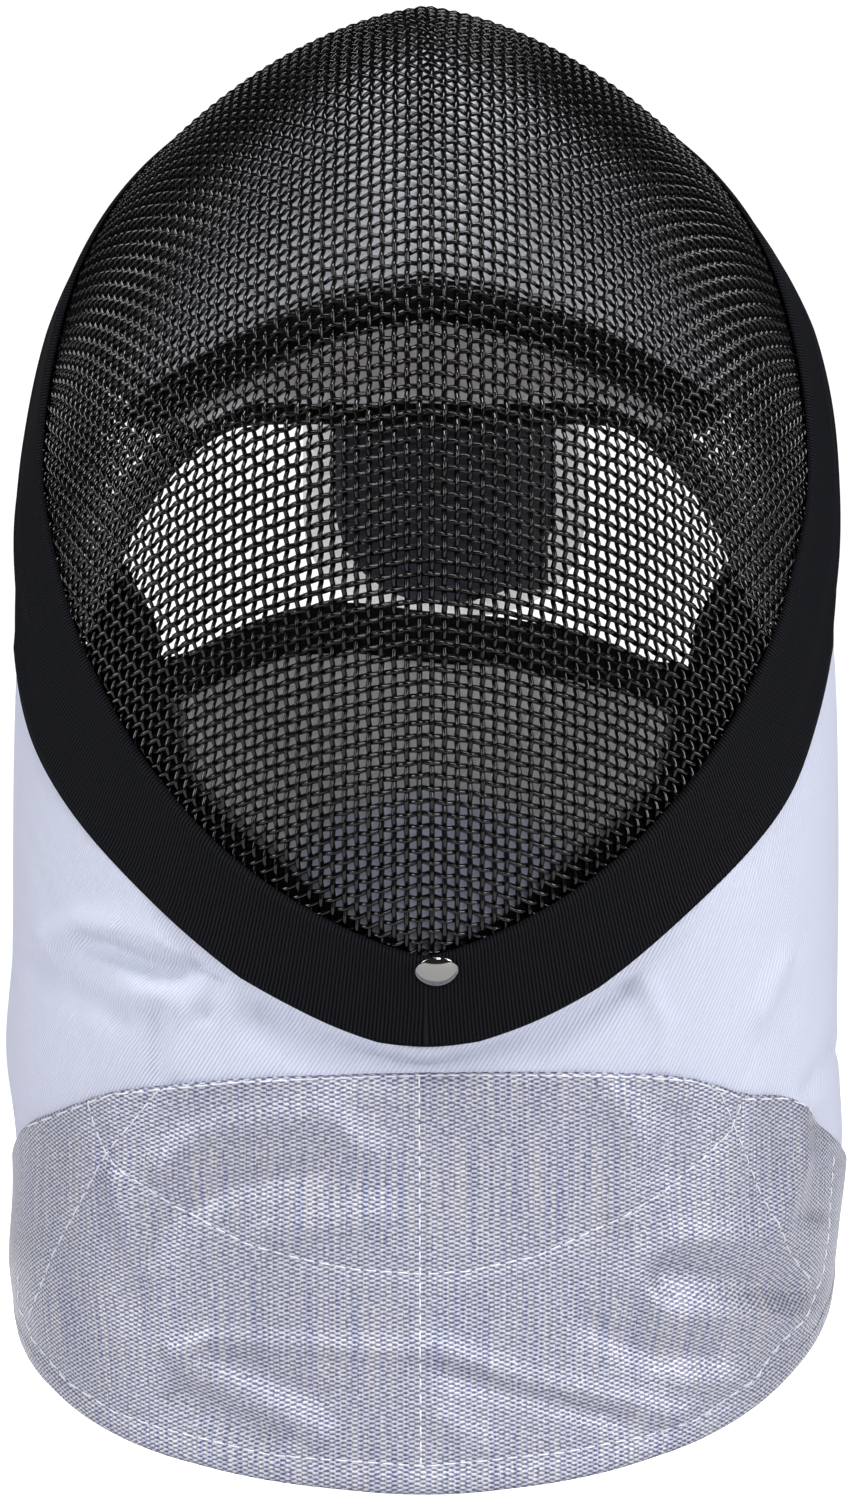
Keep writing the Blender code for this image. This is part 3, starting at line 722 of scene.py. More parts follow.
# %% Rear binding
angle = np.linspace(0, 2 * math.pi, 400, endpoint=False)
last = np.full_like(angle, 2.0)
edge, out, normal = edge_frame(dome, angle, last, last - 0.05, lambda a, s: np.full_like(a, 1.0 * MM))
binding = tape("rear_tape", edge, out, normal, half_gap=1.2 * MM, reach=7.5 * MM, thick=0.7 * MM,
               wrap=True)
dress(binding, TAPE, "black_binding", "rear_binding")

# %% [markdown]
# ## Linings
# Foam linings covered in cloth pad the crown and the chin. The crown's lining starts on a row of the
# dome over the brow and runs back to the rear edge. The chin's lining rises off the wire at its top.

# %% Lining cloths
# Brushed polyester over foam: soft and matt, white with a lavender cast. Its inner face is tinted a darker
# grey-brown as painted shade, for the underside that lies in shadow.
CROWN_CLOTH, tree, shader = paint("white_lining_cloth", "#eeeff8", 0.9)
# painted shade: where the attribute inside is 1, the inner face takes the darker warm colour
tint(tree, shader, add(tree, "Attribute", attribute_name="inside"), "#eeeff8", "#e6e1e0")
nap = add(tree, "TexNoise", add(tree, "TexCoord"), Scale=1400.0, Detail=3.0)
bump(tree, shader, nap, 0.35, 0.0005)
# The chin's cloth is a neutral grey with a pale bluish patch low in the middle: there the white
# bib's cloth is sewn over it. The patch is a soft ellipse in the piece's UV.
CHIN_CLOTH, tree, shader = paint("grey_lining_cloth", "#d4d4d5", 0.9)
from_patch = add(tree, "VectorMath", cloth_uv(tree), (0.51, 0.86, 0.0), operation="SUBTRACT")
stretched = add(tree, "VectorMath", from_patch, (3.2, 1.9, 1.0), operation="MULTIPLY")
far = add(tree, "VectorMath", stretched, operation="LENGTH").outputs["Value"]
patch = add(tree, "MapRange", far, From_Min=0.85, From_Max=0.65, interpolation_type="SMOOTHSTEP")
tint(tree, shader, patch, "#d4d4d5", "#cdd0e6")

# %% Crown lining
CROWN_PAD_ROW = 71.5 * MM
CROWN_PAD_HALF = 92 * MM
CROWN_PAD_BAND_ANGLE = 72
CROWN_PAD_REAR_ANGLE = 48
CROWN_PAD_END = 1.97
CROWN_PAD_DEPTH = 3.4 * MM
BROW_SINK, BROW_SHARE = 0.6, 0.45  # deeper by this share at the brow, fading over this part of s
PUFF = 0.5 * MM
PAD_THICK = 6.6 * MM


def crown_lining(a, s):
    """Blend from the brow row to the band's line, then along the rear wall."""
    a, s = alike(a, s)
    front_u = a * CROWN_PAD_HALF
    band_u, band_v = loop(np.radians(a * CROWN_PAD_BAND_ANGLE), BAND_REACH)
    part = np.minimum(s, 1)
    on_face = face(front_u + (band_u - front_u) * part, CROWN_PAD_ROW + (band_v - CROWN_PAD_ROW) * part)
    rest = np.maximum(s - 1, 0)
    turned = np.radians(a * (CROWN_PAD_BAND_ANGLE + (CROWN_PAD_REAR_ANGLE - CROWN_PAD_BAND_ANGLE) * rest))
    return np.where((s <= 1)[..., None], on_face, dome(turned, 1 + rest))


def crown_depth(a, s):
    """Depth of the lining's outer face under the wire: more at the brow."""
    return CROWN_PAD_DEPTH * (1 + BROW_SINK * np.maximum(1 - s / BROW_SHARE, 0)) + 0 * a


a, s = np.meshgrid(np.linspace(-1, 1, 61), np.linspace(0.012, CROWN_PAD_END, 60))
puff = PUFF * np.sin(a * 9.0 + 2 * np.sin(s * 3)) * np.sin(s * 7.0 + a)
outer = offset(crown_lining, a, s, -crown_depth(a, s) - PUFF + puff)
crown = shell("crown_lining", outer, thick=PAD_THICK - 1 * MM, rim=3 * MM)
dress(crown, CROWN_CLOTH, "white_cloth", "crown_pad")

a = np.linspace(-1, 1, 121)
zero = np.zeros_like(a)
edge, out, normal = edge_frame(crown_lining, a, zero, zero + 0.06,
                               lambda a, s: crown_depth(a, s) + PAD_THICK / 2)
brow = tape("brow_tape", edge - out * 1.2 * MM, out, normal, half_gap=PAD_THICK / 2 - 0.2 * MM,
            reach=5.5 * MM, thick=0.8 * MM, wrap=False)
dress(brow, TAPE, "black_binding", "crown_pad_binding")

# %% Chin lining
CHIN_PAD_HALF = 90 * MM
CHIN_PAD_TOP = -6 * MM
CHIN_PAD_RISE = 14 * MM
CHIN_PAD_ARCH = 4.3 * MM
CHIN_PAD_ARCH_END = 0.8
CHIN_PAD_TILT = 2.4 * MM
CHIN_PAD_ANGLE = 55
CHIN_PAD_REACH = 1.05
CHIN_PAD_DEPTH = 3.1 * MM
CHIN_PAD_STAND_OFF = 8 * MM
RIDGE_SHARE = 0.16


def chin_lining(a, s):
    """Blend from the lining's arched top line to a line under the band."""
    a, s = alike(a, s)
    top_u = a * CHIN_PAD_HALF
    arch = CHIN_PAD_ARCH * np.sin(math.pi * np.minimum(np.abs(a) / CHIN_PAD_ARCH_END, 1))
    tilt = CHIN_PAD_TILT * np.sin(math.pi * a)
    top_v = CHIN_PAD_TOP + CHIN_PAD_RISE * a ** 2 + arch - tilt
    low_u, low_v = loop(np.radians(180 - a * CHIN_PAD_ANGLE), CHIN_PAD_REACH)
    return face(top_u + (low_u - top_u) * s, top_v + (low_v - top_v) * s)


def chin_depth(a, s):
    """Depth under the wire: most at the middle of the top line."""
    return CHIN_PAD_DEPTH + CHIN_PAD_STAND_OFF * (1 - np.abs(a) ** 2) * (1 - s)


def over_ridge(a):
    """Bell round the middle: there a running mean rounds what would copy the ridge's sharp line."""
    return np.exp(-(a / RIDGE_SHARE) ** 2)[..., None]


a, s = np.meshgrid(np.linspace(-1, 1, 61), np.linspace(0.03, 1, 36))
outer = offset(chin_lining, a, s, -chin_depth(a, s))
outer = outer + (rounded(outer, 9) - outer) * over_ridge(a)
chin = shell("chin_lining", outer, PAD_THICK, rim=3 * MM, uv=np.stack([a * 0.5 + 0.5, s], axis=-1))
dress(chin, CHIN_CLOTH, "grey_lining", "chin_pad")

a = np.linspace(-0.9, 0.9, 101)
zero = np.zeros_like(a)
frame_lines = edge_frame(chin_lining, a, zero, zero + 0.1, lambda a, s: chin_depth(a, s) + PAD_THICK / 2)
edge, out, normal = (line + (rounded(line[None], 16)[0] - line) * over_ridge(a) for line in frame_lines)
lip = tape("chin_tape", edge - out * 1.5 * MM, out, normal, half_gap=PAD_THICK / 2 + 0.1 * MM,
           reach=7.5 * MM, thick=0.8 * MM, wrap=False)
dress(lip, TAPE, "black_binding", "chin_pad_binding")

# %% [markdown]
# The same tape runs down both sides of the chin's lining, between the grey cloth and the band. Each
# strip is a flat wall on the unrolled dome, wide at the cheek and narrow at the chin.

# %% Side strips
SIDE_TAPE_NARROW = 0.033
SIDE_TAPE_WIDEN = 0.0105  # share of the reach per degree past the start of the widening
SIDE_TAPE_GROWS, SIDE_TAPE_START, SIDE_TAPE_END = 14, 40, 60  # degrees from the chin
SIDE_TAPE_BLEND = 12
SIDE_TAPE_UNDER = 0.04  # share of the reach that lies under the band
SIDE_TAPE_DEPTH = 2.45 * MM


def side_tape(name, hand):
    """Wall between two reaches of the loop, from 6 degrees off the chin to the cheek."""
    turn, part = np.meshgrid(np.linspace(6, SIDE_TAPE_END, 90), np.linspace(0, 1, 12))
    width = SIDE_TAPE_NARROW * ramp((turn - SIDE_TAPE_GROWS) / SIDE_TAPE_BLEND)
    width = width + SIDE_TAPE_WIDEN * np.clip(turn - SIDE_TAPE_START, 0, SIDE_TAPE_BLEND)
    place = loop(np.radians(180 - hand * turn), 1 + SIDE_TAPE_UNDER - (SIDE_TAPE_UNDER + width) * part)
    outer = offset(face, *place, -SIDE_TAPE_DEPTH - 0 * turn)
    uv = np.stack([turn * 2.4, part * 12], axis=-1)
    return shell(name, outer, thick=0.5 * MM, rim=0.25 * MM, uv=uv)


for side, hand in (("left", -1), ("right", 1)):
    dress(side_tape("side_tape_" + side, hand), TAPE, "black_binding", "chin_pad_binding")

# %% [markdown]
# ## The spring tongue
# A sprung strip, covered in black cloth, holds the back of the head. It is fixed outside the rear wire
# and bends in below the rear edge. A wider pale backing lies behind it, and a narrow webbing is sewn
# down its right side.

# %% Tongue
TONGUE_CLOTH, tree, shader = paint("black_woven_cover", "#3a3a45", 0.85, Specular_IOR_Level=0.2)
bump(tree, shader, add(tree, "TexWave", cloth_uv(tree), bands_direction="Y", Scale=14.0), 0.5, 0.0004)
BACKING_CLOTH, tree, shader = paint("pale_grey_felt", "#f2f2f4", 0.92, Subsurface_Weight=1.0,
                                    Subsurface_Scale=0.01, Subsurface_Radius=(1.0, 1.0, 1.0))
TONGUE_OFFSET = 5 * MM
TONGUE_HALF_WIDTH = 28.5 * MM
TONGUE_THICK = 4.0 * MM
TONGUE_LENGTH = 52 * MM
TONGUE_HELD = 34 * MM
TONGUE_ROUND = 34 * MM
TONGUE_BLUNT = 0.985  # the round end stops this far along, so its last row keeps a width
TONGUE_STAND_OFF = 0.5 * MM
TONGUE_LIFT = 1.4 * MM
TONGUE_LIFT_ARC = 20 * MM
TONGUE_LIFT_RUN = 8 * MM
TONGUE_TURN_PER_MM = 30 / 42
TONGUE_WALL_ARC = 150 * MM
# arc below the rear edge in mm, lean towards the face in degrees
TONGUE_LEAN = np.array([(0, 4), (30, 20), (80, 34)], float)
BACKING_MARGIN = 7 * MM
BACKING_THICK = 1.6 * MM


def tongue_point(a, arc, half_width, length):
    """Along the rear wall above the edge, leaning in below it; the end's outline is a superellipse."""
    rounding = np.clip((arc - length + TONGUE_ROUND) / TONGUE_ROUND, 0, TONGUE_BLUNT)
    across = TONGUE_OFFSET + a * half_width * np.sqrt(1 - rounding ** 2.6)
    turned = np.radians(across / MM * TONGUE_TURN_PER_MM)
    wall = dome(turned, 2 + np.minimum(arc, 0) / TONGUE_WALL_ARC)
    down, inward = arc_chain(TONGUE_LEAN, np.maximum(arc, 0))
    return wall + np.stack([np.zeros_like(down), -inward, -down], axis=-1)


def tongue_strip(name, half_width, length, stand_off, thick, sides=(-1, 1), rim=2 * MM, square=0.0):
    """Closed wall on the tongue's surface, lifted over the rear binding; square keeps its end straight."""
    below = length - length * np.linspace(1, 0, 46) ** 1.4
    below = below * (1 - (1 - TONGUE_BLUNT) * TONGUE_ROUND / length)
    arcs = np.concatenate([np.linspace(-TONGUE_HELD, -1 * MM, 20), below])
    a, arc = np.meshgrid(np.linspace(*sides, 27), arcs)
    over_binding = TONGUE_LIFT * ramp((arc + TONGUE_LIFT_ARC) / TONGUE_LIFT_RUN)
    outer = offset(lambda a, arc: tongue_point(a, arc, half_width, length + square), a, arc,
                   stand_off + over_binding + thick)
    uv = np.stack([a * half_width, arc], axis=-1) / (2 * half_width)
    return shell(name, outer, thick, min(thick / 2, rim), uv=uv)


tongue = tongue_strip("tongue", TONGUE_HALF_WIDTH, TONGUE_LENGTH, TONGUE_STAND_OFF, TONGUE_THICK)
dress(tongue, TONGUE_CLOTH, "black_cover", "rear_tongue")
webbing = tongue_strip("tongue_webbing", TONGUE_HALF_WIDTH, TONGUE_LENGTH - 2 * MM,
                       TONGUE_STAND_OFF - 0.9 * MM, thick=0.8 * MM, sides=(0.62, 0.97), rim=0.4 * MM,
                       square=TONGUE_ROUND)
WEBBING, tree, shader = paint("dark_webbing", "#43444e", 0.8)
bump(tree, shader, add(tree, "TexWave", cloth_uv(tree), bands_direction="Y", Scale=11.0), 0.8, 0.0006)
dress(webbing, WEBBING, "black_cover", "rear_tongue")
backing = tongue_strip("tongue_felt", TONGUE_HALF_WIDTH + BACKING_MARGIN, TONGUE_LENGTH + BACKING_MARGIN / 2,
                       TONGUE_STAND_OFF + TONGUE_THICK + 0.9 * MM, BACKING_THICK)
dress(backing, BACKING_CLOTH, "grey_lining", "tongue_backing")

# %% [markdown]
# ## The bib
# The bib is padded cloth sewn to the band. It hangs nearly straight to a rounded hem, and its lower
# half carries a panel of conductive cloth. `bib_outside` runs from the band's edge to the hem.

# %% Bib surface
BIB_ANGLE = 70
BIB_SWELL = 3.4 * MM
BIB_THICK = 2.5 * MM
LAME_THICK = 1.0 * MM
HEM_SKEW = 6
# share of the half width, across, back, up
HEM = np.array([
    (0.00, 0, -79, -355), (0.25, 38, -73, -352), (0.50, 70, -57, -345), (0.70, 91, -34, -334.5),
    (0.82, 100, -13, -325), (0.92, 104, 12, -319), (1.00, 103, 40, -313),
], float)
# side, height, half height, depth of the soft bulges of the bib's edges
BULGES = np.array([(-1, -254, 18, 2.6), (-1, -310, 15, 2.6), (1, -281, 22, 3.0)])


def band_foot(a):
    """Point just past the band's outer edge, level with the outside of the bib."""
    angle = np.radians(180 - a * BIB_ANGLE)
    one = np.ones_like(angle)
    past = unit(dome(angle, one) - dome(angle, one * 0.98)) * 1.0 * MM
    return offset(dome, angle, one * 0.999, BAND_GAP + BIB_THICK) + past


def hem(a):
    """Point of the hem at a signed share of the half width."""
    x, y, z = read_table(HEM, a, 0.09)
    return np.stack([x, y, z + HEM_SKEW * a * np.abs(a)], axis=-1) * MM


def bulge(a, height):
    """Outward push at a side and height: a bell for each row of the table."""
    total = np.zeros_like(height)
    for side, middle, half, depth in BULGES:
        bell = np.exp(-((height / MM - middle) / half) ** 2)
        total = total + depth * MM * bell * ramp(side * a) ** 3
    return total


def bib_outside(a, b):
    """Straight fall from the band to the hem, swelled a little at the sides."""
    a, b = alike(a, b)
    top = band_foot(a)
    low = hem(a)
    plan = unit((low - HEAD_CENTRE) * np.array([1.0, 1.0, 0.0]))
    swell = BIB_SWELL * np.sqrt(np.sin(math.pi * np.clip(b, 0.001, 0.999))) * np.abs(a) ** 2
    fall = top + (low - top) * b[..., None]
    return fall + plan * (swell + bulge(a, fall[..., 2]))[..., None]


# %% [markdown]
# Folds, seams and the panel's outline are placed as they are seen from the front. `front_view` gives
# what a camera 1 m in front of the nose sees, in mm on an upright plane through the nose. `place_on`
# finds the surface's two parameters for a seen place with Newton's method.

# %% Seen places
VIEW_FROM = np.array([0.3, -1119.0, -178.0]) * MM
VIEW_TO_NOSE = 1000


def front_view(points):
    """Across and up as seen: the offset from the camera divided by its depth."""
    away = points - VIEW_FROM
    return away[..., [0, 2]] / away[..., 1:2] * VIEW_TO_NOSE


def place_on(surface, seen, a, b):
    """Newton steps on a and b until the surface's point is seen at the wanted place."""
    h = 0.01
    for _ in range(14):
        here = front_view(surface(a, b))
        by_a = (front_view(surface(a + h, b)) - here) / h
        by_b = (front_view(surface(a, b + h)) - here) / h
        miss = seen - here
        scale = by_a[..., 0] * by_b[..., 1] - by_a[..., 1] * by_b[..., 0]
        a = np.clip(a + (miss[..., 0] * by_b[..., 1] - miss[..., 1] * by_b[..., 0]) / scale, -0.99, 0.99)
        b = np.clip(b + (by_a[..., 0] * miss[..., 1] - by_a[..., 1] * miss[..., 0]) / scale, 0.0, 0.995)
    return a, b


def from_line(seen, start, end):
    """Distance of seen places from a straight piece of line, its ends round."""
    start, end = np.asarray(start, float), np.asarray(end, float)
    along = end - start
    share = ramp((seen - start) @ along / (along @ along))
    return np.linalg.norm(seen - start - share[..., None] * along, axis=-1)


# %% Folds and seams
# across and up at both ends as seen, height of the fold (a valley is negative), half width; all mm
FOLDS = np.array([
    (-86, -43, -79, -39.5, 2.3, 3.3), (-79, -39.5, -71, -40, 2.5, 3.3), (-71, -40, -58, -43.5, 1.8, 4.4),
    (-77, -43.5, -70, -46.5, -2.9, 2.4), (-70, -46.5, -63, -50, -3.3, 2.6),
    (-63, -50, -56, -50.8, -3.3, 2.9), (-56, -50.8, -49, -48, -2.7, 2.6), (-66, -55, -50, -56, 1.6, 4.4),
    (-90, -47.7, -84.5, -53.4, -1.4, 2.8), (-84.5, -53.4, -70, -61, -1.6, 2.8),
    (-47.5, -52, -50.4, -60, -1.6, 2.2), (-60.6, -60, -61.3, -74, -1.2, 2),
    (-56, -60, -57, -72, 1.2, 3.3), (-38, -61.5, -28.8, -67, -3.2, 4.2),
    (-28.8, -67, -17.5, -69.8, -3.2, 4.2), (-17.5, -69.8, 8, -70.8, -3.2, 4.2),
    (8, -70.8, 24, -67.6, -3.2, 4.2), (24, -67.6, 36, -60.6, -3.2, 4.2),
    (36, -60.6, 44, -54.5, -3.2, 4.2), (50, -54, 54, -62, 1, 2.5), (54, -62, 54, -72, 1, 2.5),
    (92.4, -68, 86.8, -77, -1.1, 1.8), (81, -48, 76, -60, 1.3, 2.6),
    (-59.5, -94.3, -53.8, -88.6, 1.7, 3.6), (-53.8, -88.6, -45.9, -85.2, 1.7, 3.6),
    (-45.9, -85.2, -23.2, -82.5, 1.7, 3.8), (-23.2, -82.5, -13.5, -91, 1.7, 3.8),
    (-52, -103, -46, -98.8, -1.7, 3.6), (-46, -98.8, -26, -96, -1.9, 3.8),
    (-36, -110, -12, -106, 1.5, 4.2), (-69.7, -97.7, -66.9, -106.7, 1.5, 3.4),
    (-66.9, -106.7, -62.9, -118, 1.6, 3.6), (-59.5, -108, -66, -126, -1.5, 4),
    (-57.2, -136.3, -48, -133.4, 1.4, 2.4), (-48, -133.4, -2.7, -137, 1.1, 2.4),
    (-53.8, -139, -24.3, -155, 1.6, 3.2), (-56, -147, -33, -157, -1.5, 3.4),
    (-44, -139, -24, -147, -1.2, 3), (43, -79.5, 47.7, -88, 1.7, 4.2), (47.7, -88, 43.2, -104, 1.6, 4.2),
    (56, -84, 55, -95, -1.2, 4), (83.3, -82.5, 84.5, -93, 1.7, 3.2), (84.5, -93, 79, -106, 1.6, 3.2),
    (88.5, -85, 88, -104, -1.5, 3), (49.3, -114.7, 56, -110.5, 1.5, 3.6),
    (56, -110.5, 79, -110.5, 1.4, 3.6), (54, -119, 81, -122.6, -2, 3.8), (46, -120, 54, -127.6, 1.7, 3.6),
    (54, -127.6, 83, -128, 1.6, 4), (36.8, -130.6, 50.4, -137.4, -1.4, 3.4),
    (50.4, -137.4, 64, -138.4, -1.5, 3.4), (57, -142.6, 72, -142.6, 1.4, 3.2),
    (-0.7, -135.1, 22, -143.6, 1.5, 2.8), (22, -143.6, 58, -151, 1.4, 2.8),
    (4, -141, 44, -151.5, -1.4, 2.8), (3, -152, 13, -158, 1.1, 3.6),
], float)
# across and up of each seam's corners as seen; mm
LAME_TOP = np.array([
    (-96, -110), (-94, -96), (-92.6, -88), (-90, -84.3), (-76.5, -79), (-71.1, -77), (-61.1, -75.9),
    (-44.5, -74.3), (-28.8, -73.6), (-2.3, -72.9), (24.8, -72.7), (46.3, -72.9), (59.3, -73.8),
    (66.8, -76.1), (71.1, -78.1), (80.4, -77.9), (84.7, -79.7), (87.2, -82.9), (90.6, -86), (93.6, -90),
    (95.6, -96), (98, -110),
])
ARC_SEAM = np.array([
    (-76.5, -79.5), (-74.9, -85.2), (-72.2, -92), (-69, -95), (-56.8, -103.8), (-41.3, -111.7),
    (-28.8, -115.4), (-16.6, -117.9), (-0.5, -119), (9.3, -118.3), (24.8, -114.9), (39.5, -108.1),
    (53.1, -100.6), (61.8, -93.1), (68.6, -86.3), (71.1, -79.5),
])
LEFT_SEAM = np.array([(-60.6, -77), (-66.1, -84), (-72.2, -91.3), (-84, -114.2), (-90, -129.5)])
RIGHT_SEAM = np.array([(66, -77.5), (69.3, -85.2), (74.3, -98.8), (79.7, -111.7), (87, -121)])
HEM_SEAM = np.array([
    (-92, -119), (-92, -126), (-88.5, -134), (-80.9, -143.3), (-70.4, -150.1), (-60, -153.8),
    (-35.2, -160.1), (-0.5, -162.6), (30.9, -159.4), (49.5, -155.6), (61.8, -151.3), (74.3, -141.5),
    (86.5, -125.4), (89, -119.7), (91, -105.6), (92, -91.3),
])
CENTRE_SEAM = np.array([(-1.8, -74), (-1.4, -164)])
BIB_LEFT_SEAM = np.array([(-90, -22), (-84.5, -40.9), (-81.1, -56.8), (-78.6, -63.4), (-75.3, -76)])
BIB_RIGHT_SEAM = np.array([(87, -40), (78.6, -60), (73.6, -70.4), (72, -75)])
SEAMS = [(ARC_SEAM, 0.4), (LEFT_SEAM, 0.3), (RIGHT_SEAM, 0.3), (HEM_SEAM, 0.4), (CENTRE_SEAM, 0.15),
         (BIB_LEFT_SEAM, 0.25), (BIB_RIGHT_SEAM, 0.25)]
SEAM_HALF_WIDTH = 1.3


def relief(points, b):
    """Height of folds and seams in m: a bell across each line. Rows that join share the taller bell.
    It fades out over the last twelfth before the hem, where b is 1.
    """
    seen = front_view(points)
    total = np.zeros(points.shape[:-1])
    fold, ended = total, None
    for x0, z0, x1, z1, height, width in FOLDS:
        bell = height * np.exp(-(from_line(seen, (x0, z0), (x1, z1)) / width) ** 2)
        if (x0, z0) == ended:
            fold = np.where(np.abs(bell) > np.abs(fold), bell, fold)
        else:
            total, fold = total + fold, bell
        ended = (x1, z1)
    total = total + fold
    for seam, depth in SEAMS:
        near = np.min([from_line(seen, p, q) for p, q in zip(seam[:-1], seam[1:])], axis=0)
        total -= depth * np.exp(-(near / SEAM_HALF_WIDTH) ** 2)
    return total * MM * ramp((1 - b) * 12)


def lengths_across(grid):
    """Length along each row in mm, counted from the middle column, for a cloth's UV."""
    run = travelled(grid, 1) / MM
    return run - run[:, grid.shape[1] // 2][:, None]


# %% Bib cloth
# Bleached polyester twill: white with a lavender cast, fine diagonal ribs, matt.
BIB_CLOTH, tree, shader = paint("white_twill", "#cdd1e4", 0.85)
turned = add(tree, "Mapping", cloth_uv(tree), Rotation=(0, 0, math.radians(35)))
twill = add(tree, "TexWave", turned, bands_direction="X", Scale=0.33, Distortion=0.5)
tint(tree, shader, twill, "#bfc4da", "#d7daeb")
bump(tree, shader, twill, 0.5, 0.0003)

# %% Bib
a, b = np.meshgrid(np.linspace(-1, 1, 241), np.linspace(0, 1, 121))
flat = bib_outside(a, b)
outer = flat + grid_normals(flat) * (relief(flat, b) * ramp(b * 60) - 0.2 * MM)[..., None]
# its upper edge runs on under the strap: rows further up the dome (share) and closer to it (mm)
sunk = [offset(dome, np.radians(180 - a[0] * BIB_ANGLE), 0.999 - up + 0 * a[0],
               BAND_GAP + BIB_THICK - down * MM)
        for up, down in ((0.022, 1.5), (0.015, 1.2), (0.008, 0.8), (0.002, 0.4))]
outer = np.concatenate([sunk, outer])
bib_uv = np.stack([lengths_across(outer), outer[..., 2] / MM], axis=-1)
bib = shell("bib_cloth", outer, thick=BIB_THICK - 0.3 * MM, rim=1.1 * MM, uv=bib_uv)
dress(bib, BIB_CLOTH, "white_cloth", "bib")
print("bib", round(float(np.ptp(bib_uv[..., 0]))), "mm round")

# %% [markdown]
# ## The conductive panel
# Plated thread is woven into the panel. Each weft thread floats over every second warp thread, so the
# cloth shows a brick pattern of bright ovals. The product of two sines, one across and one along, is
# positive on the floats and negative between them, and it drives both the colour and the bump.

# %% Conductive cloth
# Copper-nickel plated polyester: satin, cool grey with warm glints; partly metallic.
LAME, tree, shader = paint("silver_lame", "#b4b8c8", 0.44, metallic=0.45)
WARP_PITCH = 1.35  # mm between threads running up
WEFT_PITCH = 0.52  # mm between threads running across
uv = cloth_uv(tree)
split = add(tree, "SeparateXYZ", uv)
phases = []
for axis_name, pitch in (("X", WARP_PITCH), ("Y", WEFT_PITCH)):
    scaled = add(tree, "Math", split.outputs[axis_name], math.pi / pitch, operation="MULTIPLY")
    phases.append(add(tree, "Math", scaled, operation="SINE"))
floats = add(tree, "Math", *phases, operation="MULTIPLY")
speck = add(tree, "TexNoise", uv, Scale=1.1, Detail=1.0)
uneven = add(tree, "MapRange", speck, From_Min=0.25, From_Max=0.75, To_Min=-0.5, To_Max=0.5)
height = add(tree, "Math", floats, uneven, operation="ADD")
level = add(tree, "MapRange", height, From_Min=-0.5, From_Max=0.6)
streaks = add(tree, "TexNoise", add(tree, "Mapping", uv, Scale=(1.6, 0.03, 1.0)), Scale=1.0, Detail=2.0)
slub = add(tree, "MapRange", streaks, From_Min=0.35, From_Max=0.65)
warp_tone = add(tree, "MixRGB", slub, "#4e5376", "#7c7e90")
weft_tone = add(tree, "MixRGB", slub, "#c6c9df", "#e2e0e2")
tint(tree, shader, level, warp_tone, weft_tone)
bump(tree, shader, level, 0.5, 0.00025)

# %% Lame panel
PANEL_GAP = 0.2 * MM
LAME_HALF = 0.995
LAME_EDGE = 0.995
FOLDED_EDGE = 5.0  # mm
columns = np.linspace(-LAME_HALF, LAME_HALF, 231)
fine_b = np.linspace(0.02, LAME_EDGE, 300)
seen = front_view(offset(bib_outside, columns[None, :], fine_b[:, None], 0.0))
above = seen[..., 1] > np.interp(seen[..., 0], LAME_TOP[:, 0], LAME_TOP[:, 1])
start = fine_b[np.minimum(above.sum(axis=0), len(fine_b) - 1)]
smooth = np.convolve(np.pad(start, 4, mode="edge"), np.ones(9) / 9, mode="valid")
part = np.linspace(0, 1, 101)[:, None]
b = smooth + (LAME_EDGE - smooth) * part
a = columns + 0 * b
flat = bib_outside(a, b)
fall = travelled(flat)[-1] / MM
from_rim = np.minimum(part, 1 - part) * fall
turned_in = 0.35 * MM * ramp(FOLDED_EDGE - from_rim) * np.where(part > 0.5, 1, 0)
LAME_FACE = PANEL_GAP + LAME_THICK
lift = LAME_FACE + relief(flat, b) + turned_in
outer = flat + grid_normals(flat) * lift[..., None]
lame_uv = np.stack([lengths_across(outer), flat[..., 2] / MM], axis=-1)
lame = shell("lame_cloth", outer, LAME_THICK, rim=0.5 * MM, uv=lame_uv)
dress(lame, LAME, "silver_lame", "lame_panel")

# %% [markdown]
# ## Stitching
# Each seam is topstitched with white thread. A stitch is a short tube that dips into the cloth at both
# ends, placed along the seam's seen line and carried onto the folded surface.

# %% Thread
# Spun polyester thread: white, softly shining.
THREAD, tree, shader = paint("white_thread", "#e0e2ea", 0.6)
BIB_SEEN_HALF = 112  # mm, only for the first guess of a stitch's place
STITCH_LENGTH = 2.8
STITCH_GAP = 0.7
THREAD_RADIUS = 0.21 * MM
STITCH_RISE = np.array([-1.2, 0.5, 0.9, 0.5, -1.2])  # of its five rings, in thread radii


def stitches(seam, height):
    """Tubes along a seam: lengths are counted in mm as seen, each stitch has five rings."""
    run = travelled(seam)
    count = max(int(run[-1] / (STITCH_LENGTH + STITCH_GAP)), 1)
    starts = np.arange(count) * run[-1] / count
    along = starts[:, None] + np.linspace(0, STITCH_LENGTH, 5)[None, :]
    seen = np.stack([np.interp(along, run, seam[:, 0]), np.interp(along, run, seam[:, 1])], axis=-1)
    a, b = place_on(bib_outside, seen, seen[..., 0] / BIB_SEEN_HALF, np.full(along.shape, 0.6))
    flat = bib_outside(a, b)
    normal = outward(bib_outside, a, b)
    rise = height + relief(flat, b) + THREAD_RADIUS * STITCH_RISE
    middle = flat + normal * rise[..., None]
    return [tube(path, up, THREAD_RADIUS, 6) for path, up in zip(middle, normal)]


panel_tubes = []
for seam in (ARC_SEAM, LEFT_SEAM, RIGHT_SEAM, HEM_SEAM, CENTRE_SEAM, LAME_TOP[3:-4] - (0, 1.1)):
    panel_tubes += stitches(seam, LAME_FACE)
panel_thread = dress(bundle("panel_stitches", panel_tubes), THREAD, "silver_lame", "lame_panel")
print(len(panel_tubes), "stitches on the panel")
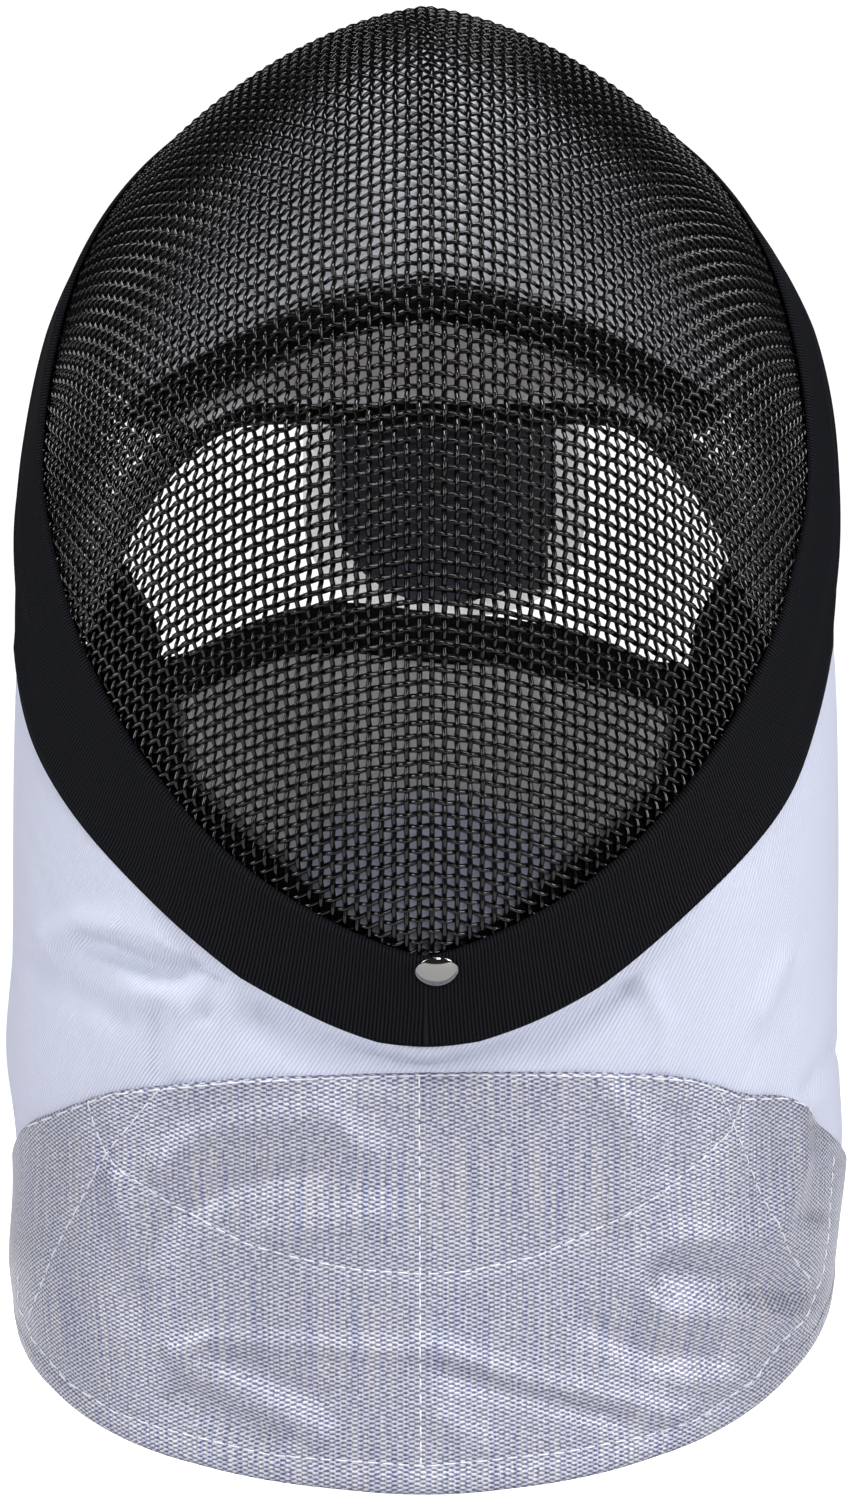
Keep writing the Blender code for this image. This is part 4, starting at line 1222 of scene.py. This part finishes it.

# %% [markdown]
# ## Studio
# A pale paper floor lies under the mask, and the room behind is plain white. Behind the mask the floor has
# a painted glow, light from the paper itself and from no lamp, standing in for paper with a lamp of its own;
# soft lights in front model the cloth.

# %% Paper floor
FLOOR_HEIGHT = -0.42
FLOOR_ACROSS = (-1.5, 1.5)
FLOOR_ALONG = (-0.6, 2.1)
PAPER, tree, shader = paint("studio_paper", "#f0f0f0", 0.95, Emission_Color="#ffffff")
# painted glow: the paper's emission rises from 0.15 m to 0.35 m behind the middle and fades out between 0.5
# m and 0.9 m to the sides, lighting the mask from behind
split = add(tree, "SeparateXYZ", add(tree, "TexCoord"))
beside = add(tree, "Math", split.outputs["X"], operation="ABSOLUTE")
near = add(tree, "MapRange", beside, From_Min=0.9, From_Max=0.5)
glow = add(tree, "MapRange", split.outputs["Y"], From_Min=0.15, From_Max=0.35, To_Max=near)
feed(tree, shader.inputs["Emission Strength"], glow)
floor_x, floor_y = np.meshgrid(np.linspace(*FLOOR_ACROSS, 7), np.linspace(*FLOOR_ALONG, 7))
floor_points = np.stack([floor_x, floor_y, FLOOR_HEIGHT + 0 * floor_x], axis=-1).reshape(-1, 3)
floor = mesh_object("paper_floor", floor_points, grid_quads(7, 7))
floor.data.materials.append(PAPER)

# %% Lights
# The room is dark for the wires, so that they stay black between their highlights, and plain white
# where it is seen past the mask.
world = bpy.data.worlds.new("studio_sky")
world.use_nodes = True
tree = world.node_tree
sky = tree.nodes["Background"]
feed(tree, sky.inputs["Color"], "#ffffff")
seen = add(tree, "LightPath").outputs["Is Camera Ray"]
feed(tree, sky.inputs["Strength"], add(tree, "MapRange", seen, To_Min=0.04, To_Max=1.1))
bpy.context.scene.world = world


def soft_light(name, place, aim, size, power):
    """Oblong area light at a place, its face turned to aim; size is its width and height."""
    lamp = bpy.data.lights.new(name, "AREA")
    lamp.shape = "RECTANGLE"
    lamp.size, lamp.size_y = size
    lamp.energy = power
    thing = bpy.data.objects.new(name, lamp)
    thing.location = place
    thing.rotation_euler = (Vector(aim) - Vector(place)).to_track_quat("-Z", "Y").to_euler()
    bpy.context.scene.collection.objects.link(thing)


MIDDLE = (0, 0, -0.17)
soft_light("front_light", (0.3, -1.75, 0.2), MIDDLE, (0.45, 0.45), 7.5)
soft_light("key_light", (1.35, -0.8, 0.4), MIDDLE, (0.6, 0.9), 17)
soft_light("fill_light", (-1.4, -0.7, 0.35), MIDDLE, (0.6, 0.9), 14.5)
soft_light("top_light", (0.0, -0.75, 1.2), MIDDLE, (0.7, 0.4), 14.5)
soft_light("back_light", (0, 2.0, 0.8), (0, 0, 0.8), (1.4, 2.6), 12)
bpy.data.objects["back_light"].visible_camera = False

# %% Camera
# The photograph was taken level with the middle of the mask, 1 m in front of the nose, with a long lens.
FOCAL_PX = 4403
FRAME_PX = 1500
lens = bpy.data.cameras.new("photo_camera")
lens.sensor_width = 36
lens.lens = FOCAL_PX / FRAME_PX * lens.sensor_width
lens.clip_start = 0.01
camera = bpy.data.objects.new("photo_camera", lens)
camera.location = VIEW_FROM
camera.rotation_euler = (math.radians(90), 0, 0)
bpy.context.scene.collection.objects.link(camera)
bpy.context.scene.camera = camera
bpy.context.scene.view_settings.view_transform = "Standard"
